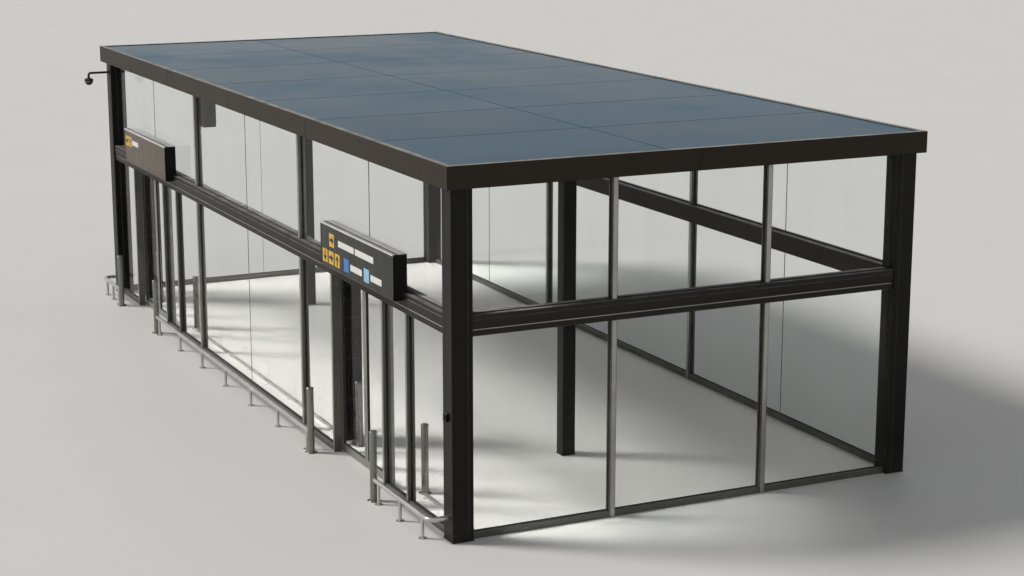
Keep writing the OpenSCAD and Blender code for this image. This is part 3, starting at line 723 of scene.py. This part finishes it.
joints = []
for node, along in (("lower_glass_hall", Y), ("upper_glass_hall", Y), ("lower_glass_facade", Y),
                    ("upper_glass_facade", Y), ("glass_far", X)):
    across = 1 - along
    sheets = sorted(solids(node), key=lambda pair: pair[0][along])
    for (low_a, high_a), (low_b, high_b) in zip(sheets, sheets[1:]):
        if 0 < low_b[along] - high_a[along] < JOINT_MOST:
            gap = (high_a[along] + SEAT, low_b[along] - SEAT)
            thick = (low_a[across] + JOINT_SUNK, high_a[across] - JOINT_SUNK)
            up = (max(low_a.z, RAIL_TOP) + SEAT, high_a.z - SEAT)
            joints.append(stepped(*wall_box(across, thick, gap, up), facing(across, -1),
                                  0.0015, -JOINT_SUNK, 0.0005))
print(len(joints), "silicone joints")
fit("silicone_joints", joints, "sealant")

# %% [markdown]
# ## Cover caps on the slim posts
#
# Each slim post is a hollow section with a pressed cap on its face. The cap is a little
# narrower than the post, and its raised middle catches the light. Its metal is a brighter copy
# of the post's aluminium, a painted highlight; with the real light it gives the pale line that
# the posts show from far away.

# %% Cover caps
CAP_OUT = 0.004
CAP_MARGIN = 0.007
CAP_END = 0.002


def cover_caps(node, axis, sides=(-1, 1)):
    """Raised strips on the faces of upright solids that look along an axis."""
    strips = []
    for low, high in solids(node):
        along = (low[1 - axis] + CAP_MARGIN, high[1 - axis] - CAP_MARGIN)
        up = (low.z + CAP_END, high.z - CAP_END)
        for side in sides:
            face = high[axis] if side > 0 else low[axis]
            strips.append(strip(axis, side, face, CAP_OUT, along, up, 0.008, 0.002))
    return strips


caps = cover_caps("hall_posts", X) + cover_caps("facade_posts", X) + cover_caps("near_posts", Y)
# The brighter cap metal paints a highlight along each post.
fit("post_cover_caps", caps, "bright_upright_and_highlight")
fit("jamb_cover_caps", cover_caps("door_jambs", X, (-1,)), "bright_upright_and_highlight")

# %% [markdown]
# ## Trim on the transoms
#
# The transom is a folded casing round a steel tube. Its lower band carries a thin polished
# bead and ends in a black brush strip, and both run from corner post to corner post. A black
# rubber strip at the back of the groove above the nose paints the shade that falls into it.

# %% Transom beads, brush strips and the painted shade of the groove
BAND_BACK = 0.010
BEAD_Z = (2.424, 2.433)
BRUSH_Z = (2.3565, 2.366)
GROOVE_Z = (2.5445, 2.5635)
GROOVE_BACK = 0.016


def transom_strips(name, finish, back, up, thick, rise):
    """One strip on each of the three transoms, set back from the face of the transom."""
    facade_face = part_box("transom_facade")[1].x
    near_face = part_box("transom_near")[0].y
    strips = [strip(axis, side, face - side * back, thick, along, up, 0.002, rise)
              for axis, side, face, along in ((X, -1, TRANSOM_LO.x, SIDE_Y), (X, 1, facade_face, SIDE_Y),
                                              (Y, -1, near_face, SIDE_X))]
    fit(name, strips, finish)


transom_strips("transom_beads", "bright_along", BAND_BACK, BEAD_Z, 0.004, 0.001)
transom_strips("transom_brushes", "rubber", BAND_BACK, BRUSH_Z, 0.003, -0.001)
# The black strip in the groove is painted shade: the groove is dark because light doesn't reach into it.
transom_strips("transom_groove_painted_shade", "rubber", GROOVE_BACK, GROOVE_Z, 0.003, -0.001)

# %% [markdown]
# ## Corner posts
#
# The corner posts are steel tubes in a painted casing. The casing closes along an upright
# joint, which shows as a thin dark line on each outer face. A square push box is fixed to the
# near post at hand height, and a bead of sealant closes the foot of every post.

# %% Casing joints of the corner posts
SEAM_IN = 0.060
SEAM_WIDE = 0.008
SEAM_OUT = 0.0015
SEAM_END = 0.004
CASING_SPLIT = (2.342, 2.356)

seams = []
for up in ((SEAM_END, CASING_SPLIT[0] - SEAM_END), (CASING_SPLIT[1] + SEAM_END, BEAM_Z)):
    for axis, faces, ends in ((X, (HALL_X, FACADE_X), SIDE_Y), (Y, (NEAR_Y, FAR_Y), SIDE_X)):
        for face, side in zip(faces, (-1, 1)):
            for end, way in zip(ends, (-1, 1)):
                along = sorted((end + way * SEAM_IN, end + way * (SEAM_IN + SEAM_WIDE)))
                seams.append(strip(axis, side, face, SEAM_OUT, along, up, 0.002, -0.0008, 0.0003))
fit("post_casing_seams", seams, "rubber")

# %% Push box on the near corner post
PUSH_BOX_SIDE = 0.090
PUSH_BOX_OUT = 0.030
PUSH_BOX_Y = NEAR_Y + 0.145
PUSH_BOX_Z = 1.44
PUSH_SCREW_IN = 0.039

half = PUSH_BOX_SIDE / 2
parts = [strip(X, -1, HALL_X, PUSH_BOX_OUT, (PUSH_BOX_Y - half, PUSH_BOX_Y + half),
               (PUSH_BOX_Z - half, PUSH_BOX_Z + half), 0.010, -0.003, 0.003)]
button = turned([(0.022, 0.0), (0.022, 0.004), (0.019, 0.005), (0.018, 0.009), (0.015, 0.011)], 28)
parts.append(set_down(button, (HALL_X - 0.026, PUSH_BOX_Y, PUSH_BOX_Z), (-1, 0, 0)))
corners = (-PUSH_SCREW_IN, PUSH_SCREW_IN)
screw_x = HALL_X - PUSH_BOX_OUT + SEAT
parts += [set_down(small_screw, (screw_x, PUSH_BOX_Y + dy, PUSH_BOX_Z + dz), (-1, 0, 0))
          for dy in corners for dz in corners]
discard(button)
fit("push_box", parts, "cabinet")

# %% Sealant at the feet of the posts
FOOT_BEAD = 0.006

feet = []
for node in ("corner_post_hall_near", "corner_post_hall_far", "corner_post_facade_near",
             "corner_post_facade_far", "inner_columns"):
    for low, high in solids(node):
        out = Vector((FOOT_BEAD, FOOT_BEAD, 0))
        feet.append(ring(Z, low - out, Vector((high.x, high.y, FOOT_BEAD)) + out,
                         FOOT_BEAD - SEAT, 0.002))
fit("foot_sealant", feet, "sealant")

# %% [markdown]
# ## Roof edge and roof joints
#
# The roof is seen from above, so its edge needs care. A folded capping in plain aluminium
# runs round it, with a cover plate over each butt joint. Between the cassettes lies a sunk
# bead of sealant. The fascia sheets are riveted beside their joints.

# %% Capping round the roof
CAPPING_WIDE = 0.055
CAPPING_T = 0.0055
CAPPING_IN = 0.001
PLATE_LONG = 0.070

low = Vector((ROOF_LO.x + CAPPING_IN, ROOF_LO.y + CAPPING_IN, ROOF_HI.z + SEAT))
high = Vector((ROOF_HI.x - CAPPING_IN, ROOF_HI.y - CAPPING_IN, ROOF_HI.z + SEAT + CAPPING_T))
parts = [ring(Z, low, high, CAPPING_WIDE)]
up = (high.z - 0.001, high.z + 0.0012)
for fascia, axis in (("fascia_hall", X), ("fascia_near", Y)):
    for joint in [pair[0][1 - axis] for pair in solids(fascia)[1:]]:
        along = (joint - PLATE_LONG / 2, joint + PLATE_LONG / 2)
        for start in (low[axis], high[axis] - CAPPING_WIDE):
            across = (start + 0.001, start + CAPPING_WIDE + 0.003)
            parts.append(stepped(*wall_box(axis, across, along, up), UP, 0.004, 0.0006, 0.0005))
fit("roof_capping", parts, "bright_along")

# %% Sealant between the roof cassettes
SEALANT_DROP = 0.007
SEALANT_DEEP = 0.006

top = ROOF_HI.z - SEALANT_DROP
inner = CAPPING_WIDE + 0.002
cassettes = solids("roof_deck")
hall_row = [pair for pair in cassettes if pair[0].x < SPINE_X - 1]
spans = [((ROOF_LO.x + inner, ROOF_HI.x - inner), (here[1].y + SEAT, after[0].y - SEAT), top)
         for here, after in zip(hall_row, hall_row[1:])]
spans.append(((hall_row[0][1].x + SEAT, cassettes[-1][0].x - SEAT),
              (ROOF_LO.y + inner, ROOF_HI.y - inner), top - 0.0003))
beads = [stepped((x[0], y[0], top - SEALANT_DEEP), (x[1], y[1], z), UP, 0.002, -0.0015, 0.0005)
         for x, y, z in spans]
fit("roof_sealant", beads, "sealant")

# %% Rivets beside the fascia joints
RIVET_FROM_JOINT = 0.025
RIVET_Z = (4.052, 4.118, 4.188, 4.254)

fascia_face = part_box("fascia_hall")[0].x
rivets = [set_down(rivet, (fascia_face, low.y + step, z), (-1, 0, 0))
          for low, high in solids("fascia_hall")[1:]
          for step in (-RIVET_FROM_JOINT, RIVET_FROM_JOINT) for z in RIVET_Z]
fit("fascia_rivets", rivets, "fascia_metal")

# %% [markdown]
# ## The sliding leaves
#
# Each leaf has its own gaskets, a soft rubber nose where the two leaves meet, a brush under
# its bottom rail and a small round lock. They ride on the leaf's body, so they slide with it.
# The rubber noses leave a gap of about a millimetre at rest, and never touch.

# %% The brush and the lock
TUFT_LONG = 0.010
TUFT_STEP = 0.0115


def brush_seal(low, high):
    """A holder strip with a row of bristle tufts under it."""
    holder = stepped((low[0] - 0.002, low[1], high[2] - 0.003), high, facing(Z, -1),
                     0.001, -0.0005, 0.0004)
    tuft = start_box(low, (high[0] - 0.001, low[1] + TUFT_LONG, high[2] - 0.002))
    choose_faces(tuft, lambda centre, normal: normal.z < -FACING)
    bpy.ops.transform.resize(value=(0.6, 0.7, 1.0))
    leave_edit()
    count = int((high[1] - low[1] - TUFT_LONG) / TUFT_STEP)
    tufts = [copy_to(tuft, (0, TUFT_STEP * i, 0)) for i in range(1, count + 1)]
    return joined([holder, tuft] + tufts)


rosette = turned([(0.017, 0.0), (0.017, 0.002), (0.0155, 0.0032), (0.009, 0.0034), (0.009, 0.0022),
                  (0.0085, 0.0046), (0.004, 0.0050)], 28)

# %% Trim on the four leaves
STILE = 0.050
BOTTOM_RAIL = 0.095
TOP_RAIL = 0.060
LEAF_TOP = 2.350
NOSE_OUT = 0.0024
NOSE_FROM = 0.022
LOCK_Z = 1.05
LOCK_OUT = 0.020

for door in ("near_door", "far_door"):
    for number, side, way in ((1, "near", 1), (2, "far", -1)):
        leaf = f"{door}_{side}_leaf"
        body = f"{door}_leaf_{number}"
        low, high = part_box(leaf)
        pane_low, pane_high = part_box(f"{door}_{side}_glass")
        mid_x = (pane_low.x + pane_high.x) / 2
        gaskets = gasket_pair(X, mid_x, (low.y + STILE, high.y - STILE),
                              (low.z + BOTTOM_RAIL, LEAF_TOP - TOP_RAIL), pane_high.x - pane_low.x)
        fit(leaf + "_gaskets", gaskets, "rubber", body)
        edge = high.y if way > 0 else low.y
        nose = strip(Y, way, edge, NOSE_OUT, (mid_x - 0.012, mid_x + 0.012),
                     (NOSE_FROM, LEAF_TOP - 0.004), 0.004, -0.0006, 0.0004)
        brush = brush_seal((mid_x - 0.004, low.y + 0.012, 0.002), (mid_x + 0.006, high.y - 0.012, low.z))
        fit(leaf + "_seals", [nose, brush], "rubber", body)
        lock = set_down(rosette, (mid_x - LOCK_OUT, edge - way * STILE / 2, LOCK_Z), (-1, 0, 0))
        fit(leaf + "_lock", [lock], "bright_upright_and_highlight", body)

# %% [markdown]
# ## The signs
#
# A sign is a flat case over each door. Its face sheet lies in the rim of the CAD case and
# carries small coloured tiles and pale bars. They stand for pictograms and lines of writing:
# a tile holds a plain arrow or nothing, and there are no words. The tiles start at the far
# end, as in the photograph. The top of the case is two bright rims with a dark slot between.
# The rims' pale colour also paints the light that falls on the top.

# %% Sign plates and arrows
TILE_T = 0.0012
TILE = 0.165
BAR_TALL = 0.078
ARROW_T = 0.0006
ROW_Z = (2.868, 2.646)
SIGN_ROWS = {
    "sign_near": [("yellow", 0, 0.385, 1, 90),
                  ("white", 0, 0.870, 3.2, None), ("white", 0, 1.470, 3.6, None),
                  ("yellow", 1, 0.150, 1, 180), ("yellow", 1, 0.360, 1, 90), ("yellow", 1, 0.570, 1, 0),
                  ("blue", 1, 0.880, 1, None), ("white", 1, 1.205, 2.3, None),
                  ("pale_blue", 1, 1.540, 1, None), ("white", 1, 1.845, 2.1, None)],
    "sign_far": [("yellow", 0, 0.150, 1, 90), ("yellow", 0, 0.345, 1, 0), ("white", 0, 0.640, 2.2, None)],
}


def arrow(x, y, z, size, turn):
    """A flat arrow of one shaft and one head, pointing up and then turned."""
    shaft = start_box((x - ARROW_T, -0.11 * size, -0.42 * size), (x, 0.11 * size, 0.10 * size))
    head = start_box((x - ARROW_T, -0.36 * size, 0.02 * size), (x, 0.36 * size, 0.42 * size))
    choose_faces(head, lambda centre, normal: normal.z > FACING)
    bpy.ops.transform.resize(value=(1.0, 0.03, 1.0))
    leave_edit()
    both = joined([shaft, head])
    both.data.transform(Matrix.Translation((0, y, z)) @ Matrix.Rotation(math.radians(turn), 4, "X"))
    return both


def dress_plates(node, far_y, face_x):
    """The tiles, bars and arrows of one sign; a row gives ink, line, place, width and arrow."""
    plates = {}
    arrows = []
    for ink, row, place, wide, turn in SIGN_ROWS[node]:
        y, z = far_y - place, ROW_Z[row]
        tall = TILE if wide == 1 else BAR_TALL
        along = (y - TILE * wide / 2, y + TILE * wide / 2)
        plates.setdefault(ink, []).append(
            strip(X, -1, face_x - 0.0004, TILE_T, along, (z - tall / 2, z + tall / 2),
                  0.004, 0.0003, 0.0004))
        if turn is not None:
            arrows.append(arrow(face_x - TILE_T - ARROW_T, y, z, TILE, turn))
    for ink, group in plates.items():
        fit(node + "_plates_" + ink, group, "ink_" + ink)
    fit(node + "_arrows", arrows, "arrow_black")


# %% Sign faces, ledges and end plates
SIGN_RIM = 0.015
SIGN_FACE_SET = 0.005
FACE_T = 0.0015
LEDGE_T = 0.003
LEDGE_OUT = 0.002
SLOT = (0.038, 0.072)
END_T = 0.003
END_IN = 0.002


def dress_sign(node):
    low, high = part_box(node)
    span = (low.y, high.y)
    face_x = low.x + SIGN_FACE_SET - FACE_T
    sheet = stepped((face_x, low.y + SIGN_RIM, low.z + SIGN_RIM),
                    (face_x + FACE_T - SEAT, high.y - SIGN_RIM, high.z - SIGN_RIM),
                    facing(X, -1), 0.003, 0.0002, 0.0003)
    fit(node + "_face", [sheet], node + "_sheet")
    dress_plates(node, high.y, face_x)
    # The pale ledge metal also paints the light that falls on the top of the case.
    rims = [stepped((start, low.y, high.z - 0.001), (end, high.y, high.z + LEDGE_T),
                    UP, 0.003, 0.0008, 0.0008)
            for start, end in ((low.x - LEDGE_OUT, low.x + SLOT[0]), (low.x + SLOT[1], high.x))]
    rims.append(strip(X, -1, low.x - SEAT, LEDGE_OUT - SEAT, span,
                      (high.z - 0.016, high.z + 0.001), 0.002, 0.0003, 0.0004))
    fit(node + "_ledge", rims, "ledge_metal_and_top_light")
    tray = stepped((low.x + SLOT[0] + 0.001, low.y + 0.004, high.z),
                   (low.x + SLOT[1] - 0.001, high.y - 0.004, high.z + 0.0012),
                   UP, 0.006, -0.0006, 0.0003)
    fit(node + "_tray", [tray], "cabinet")
    ends = []
    for y, way in zip(span, (-1, 1)):
        ends.append(strip(Y, way, y, END_T, (low.x + END_IN, high.x - END_IN),
                          (low.z + END_IN, high.z - END_IN), 0.012, -0.001))
        for x in (low.x + 0.022, high.x - 0.022):
            for z in (low.z + 0.030, high.z - 0.030):
                ends.append(set_down(small_screw, (x, y + way * 0.002, z), (0, way, 0)))
    fit(node + "_ends", ends, "dark_steel")


dress_sign("sign_near")
dress_sign("sign_far")

# %% [markdown]
# ## Guard posts, bumper rail and kerb rail
#
# Stainless posts keep trolleys off the door leaves. Each is a tube on a round flange with
# four bolts and a weld bead, and the shallow ring under its cap is a rubber seal. The bumper
# rail stands on small welded feet, and clips hold the low kerb rail to the floor.

# %% Welds, seals and bolts of the guards
RIPPLES = 48
GUARD_R = 0.045
FLANGE_T = 0.010
GUARD_BOLTS_R = 0.064
GUARD_SEAL_Z = 0.8485


def weld(radius, height, thickness=0.004):
    """A weld bead: a ring with the small ripples that the torch leaves."""
    deselect_all()
    bpy.ops.mesh.primitive_torus_add(major_segments=RIPPLES, minor_segments=6, major_radius=radius,
                                     minor_radius=thickness, location=(0, 0, height))
    piece = settled()
    choose_faces(piece, lambda centre, normal: int(
        (math.atan2(centre.y, centre.x) / math.tau + 1.0) * RIPPLES) % 2 == 0)
    bpy.ops.transform.resize(value=(1.012, 1.012, 0.9))
    leave_edit()
    bpy.ops.object.shade_smooth()
    return piece


def at_feet(name, boxes, part, finish, steps=(Vector((0, 0, 0)),), height=0.0):
    """Sets a part down at the foot of every upright, or at every step round it."""
    copies = [set_down(part, Vector(((low.x + high.x) / 2, (low.y + high.y) / 2, height)) + step)
              for low, high in boxes for step in steps]
    fit(name, copies, finish)


post_weld = weld(GUARD_R, FLANGE_T)
post_seal = weld(GUARD_R + 0.0005, GUARD_SEAL_Z, 0.0022)
for node in ("guard_posts_hall", "guard_posts_inside"):
    posts = solids(node)
    at_feet(node + "_welds", posts, post_weld, "weld_metal")
    at_feet(node + "_seals", posts, post_seal, "rubber")
    at_feet(node + "_bolts", posts, bolt, "bolt_metal", on_circle(4, 45, GUARD_BOLTS_R), FLANGE_T)
discard(post_weld, post_seal)

# %% Feet of the bumper rail
FOOT_LONGEST = 0.2
FOOT_STEM_R = 0.020
FOOT_BOLTS_R = 0.037
FOOT_PLATE_T = 0.008

stem_weld = weld(FOOT_STEM_R, FOOT_PLATE_T, 0.003)
feet = [pair for pair in solids("bumper_rails") if pair[1].y - pair[0].y < FOOT_LONGEST]
print(len(feet), "bumper feet")
at_feet("bumper_foot_welds", feet, stem_weld, "weld_metal")
at_feet("bumper_foot_screws", feet, cap_screw, "bolt_metal", on_circle(3, 30, FOOT_BOLTS_R),
        FOOT_PLATE_T - SEAT)
discard(stem_weld)

# %% Clips of the kerb rail
CLIP_EVERY = 0.95
CLIP_WIDE = 0.028
CLIP_T = 0.0018
CLIP_FROM_END = 0.06
TAB_LONG = 0.034

kerb_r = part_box("kerb_rails")[1].z / 2
clip_band = start_cylinder((0, 0, kerb_r), kerb_r + CLIP_T, CLIP_WIDE, 32, (math.pi / 2, 0, 0))
bpy.ops.object.mode_set(mode="EDIT")
bpy.ops.mesh.select_all(action="SELECT")
bpy.ops.mesh.bisect(plane_co=(0, 0, 0.0008), plane_no=(0, 0, 1), clear_inner=True, use_fill=True)
leave_edit()
rounded(clip_band, 0.0006)
tab = stepped((kerb_r - 0.004, -CLIP_WIDE / 2, 0.0004), (kerb_r + TAB_LONG, CLIP_WIDE / 2, 0.0038),
              UP, 0.002, 0.0004, 0.0006)
one_side = joined([tab, set_down(cap_screw, (kerb_r + 0.020, 0, 0.0036))])
other_side = copy_by(one_side, Matrix.Rotation(math.pi, 4, "Z"))
kerb_clip = joined([clip_band, one_side, other_side])
clips = []
for low, high in solids("kerb_rails"):
    length = high.y - low.y
    gaps = max(1, round(length / CLIP_EVERY))
    for i in range(gaps + 1):
        y = low.y + CLIP_FROM_END + (length - 2 * CLIP_FROM_END) * i / gaps
        clips.append(copy_to(kerb_clip, ((low.x + high.x) / 2, y, 0)))
fit("kerb_rail_clips", clips, "bolt_metal")

# %% [markdown]
# ## Air curtains and the box under the roof edge
#
# The tall dark cabinets beside the doors blow a curtain of air across the opening through a
# narrow outlet. Guide vanes stand in the outlet, and the air goes in through louvres on the
# broad sides. The louvre is one slanting blade, modelled once and copied upwards. The same
# louvres serve as the grilles of the dark box at the middle post.

# %% Louvre panels
LOUVRE_RIM = 0.014
BLADE_T = 0.0022
BLADE_DROP = 0.62
BLADE_START = 0.78


def louvre_panel(face, side, along, up, count, depth=0.012):
    """A raised frame on an X face with slanting blades in it."""
    x = sorted((face, face + side * depth))
    border = ring(X, *wall_box(X, x, along, up), LOUVRE_RIM, 0.001)
    pitch = (up[1] - up[0] - 2 * LOUVRE_RIM) / count
    blade = start_box((x[0] + 0.001, along[0] + 0.013, 0.0),
                      (x[1] - 0.001, along[1] - 0.013, BLADE_T))
    choose_faces(blade, lambda centre, normal: normal.x * side > FACING)
    bpy.ops.transform.translate(value=(0, 0, -pitch * BLADE_DROP))
    leave_edit()
    rounded(blade, 0.0006)
    blades = [copy_to(blade, (0, 0, up[0] + LOUVRE_RIM + pitch * (i + BLADE_START))) for i in range(count)]
    discard(blade)
    backing = strip(X, side, face - side * 0.0004, 0.001, (along[0] + 0.010, along[1] - 0.010),
                    (up[0] + 0.010, up[1] - 0.010), 0.002, 0.0001, 0.0002)
    return joined([border, backing] + blades)


# %% The cabinets of the air curtains
CASE_DEEP = 0.250
CASE_TALL = 2.290
LOUVRE_IN = 0.055
LOUVRE_Z = ((0.16, 1.06), (1.18, 2.08))
LOUVRES = 26
OUTLET_END = 0.180
OUTLET_RIM = 0.040
VANE_STEP = 0.034
STAY_Z = (0.60, 1.145, 1.69)
CASE_SCREW_Z = (0.075, 2.20)
CASE_SCREW_IN = 0.030
PLINTH_T = 0.003
PLINTH_TALL = 0.060

for node in ("air_curtain_near", "air_curtain_far"):
    low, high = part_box(node)
    back = high.x - CASE_DEEP
    sides = ((back, -1), (high.x, 1))
    panels = [louvre_panel(x, way, (low.y + LOUVRE_IN, high.y - LOUVRE_IN), up, LOUVRES)
              for x, way in sides for up in LOUVRE_Z]
    fit(node + "_louvres", panels, "grille_black")
    vanes = []
    for i in range(5):
        x = back + OUTLET_RIM + VANE_STEP * (i + 0.5)
        vanes.append(stepped((x - 0.001, low.y + 0.002, OUTLET_END + 0.004),
                             (x + 0.001, low.y + 0.0296, CASE_TALL - OUTLET_END - 0.004),
                             facing(Y, -1), 0.0004, 0.0002, 0.0003))
    for z in STAY_Z:
        vanes.append(stepped((back + OUTLET_RIM + SEAT, low.y + 0.012, z - 0.003),
                             (high.x - OUTLET_RIM - SEAT, low.y + 0.029, z + 0.003),
                             facing(Y, -1), 0.001, 0.0005, 0.0008))
    fit(node + "_vanes", vanes, "vane_grey")
    plinth = ring(Z, (back - PLINTH_T, low.y - PLINTH_T, 0.0),
                  (high.x + PLINTH_T, high.y + PLINTH_T, PLINTH_TALL), PLINTH_T - 0.0001, 0.001)
    case_screws = [set_down(small_screw, (x, y, z), (way, 0, 0)) for z in CASE_SCREW_Z
                   for x, way in sides for y in (low.y + CASE_SCREW_IN, high.y - CASE_SCREW_IN)]
    fit(node + "_plinth", [plinth] + case_screws, "stainless_along")

# %% Grilles of the box under the roof edge
low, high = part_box("speaker_box")
grilles = [louvre_panel(x, way, (low.y + 0.018, high.y - 0.018), (low.z + 0.03, high.z - 0.06), 18, 0.008)
           for x, way in ((low.x, -1), (high.x, 1))]
fit("speaker_grilles", grilles, "grille_black")

# %% [markdown]
# ## The camera on its arm
#
# A dome camera hangs from a gooseneck at the far corner. Around the dark dome sits a bright
# ring with three small screws, and the arm's round flange is bolted to the corner post.

# %% Camera ring and flange bolts
RING_DROP = 0.060
RING_R = 0.0749
RING_SCREWS_R = 0.0715
FLANGE_DROP = 0.055
FLANGE_SCREWS_R = 0.042

low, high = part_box("camera_dome")
middle = Vector(((low.x + high.x) / 2, (low.y + high.y) / 2, high.z - RING_DROP))
band = turned([(0.0700, -0.0065), (0.0740, -0.0045), (RING_R, 0.0), (RING_R, 0.004), (0.0700, 0.0045)], 40)
parts = [set_down(band, middle)]
for step in on_circle(3, 90, RING_SCREWS_R):
    parts.append(set_down(small_screw, middle + step - Vector((0, 0, 0.005)), (0, 0, -1)))
flange_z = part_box("camera_arm")[1].z - FLANGE_DROP
for step in on_circle(4, 45, FLANGE_SCREWS_R):
    place = (HALL_X - 0.008, middle.y + step.x, flange_z + step.y)
    parts.append(set_down(small_screw, place, (-1, 0, 0)))
discard(band)
fit("camera_trim", parts, "bolt_metal")

# %% [markdown]
# ## The floor
#
# A plain pale floor under the lobby catches its shadow. It has a very faint unevenness, like
# honed stone.

# %% Floor
FLOOR_SIDE = 320.0

deselect_all()
bpy.ops.mesh.primitive_plane_add(size=FLOOR_SIDE, location=(0, 0, 0))
floor = settled()
floor.name = "floor"
stone = Finish("pale floor")
stone.set("Base Color", stone.mixed(stone.noise(0.35, 3.0), (0.70, 0.69, 0.67), (0.76, 0.75, 0.73)))
stone.set("Roughness", 0.6)
floor.data.materials.append(stone.material)

discard(rosette, bolt, rivet, small_screw, cap_screw, kerb_clip)
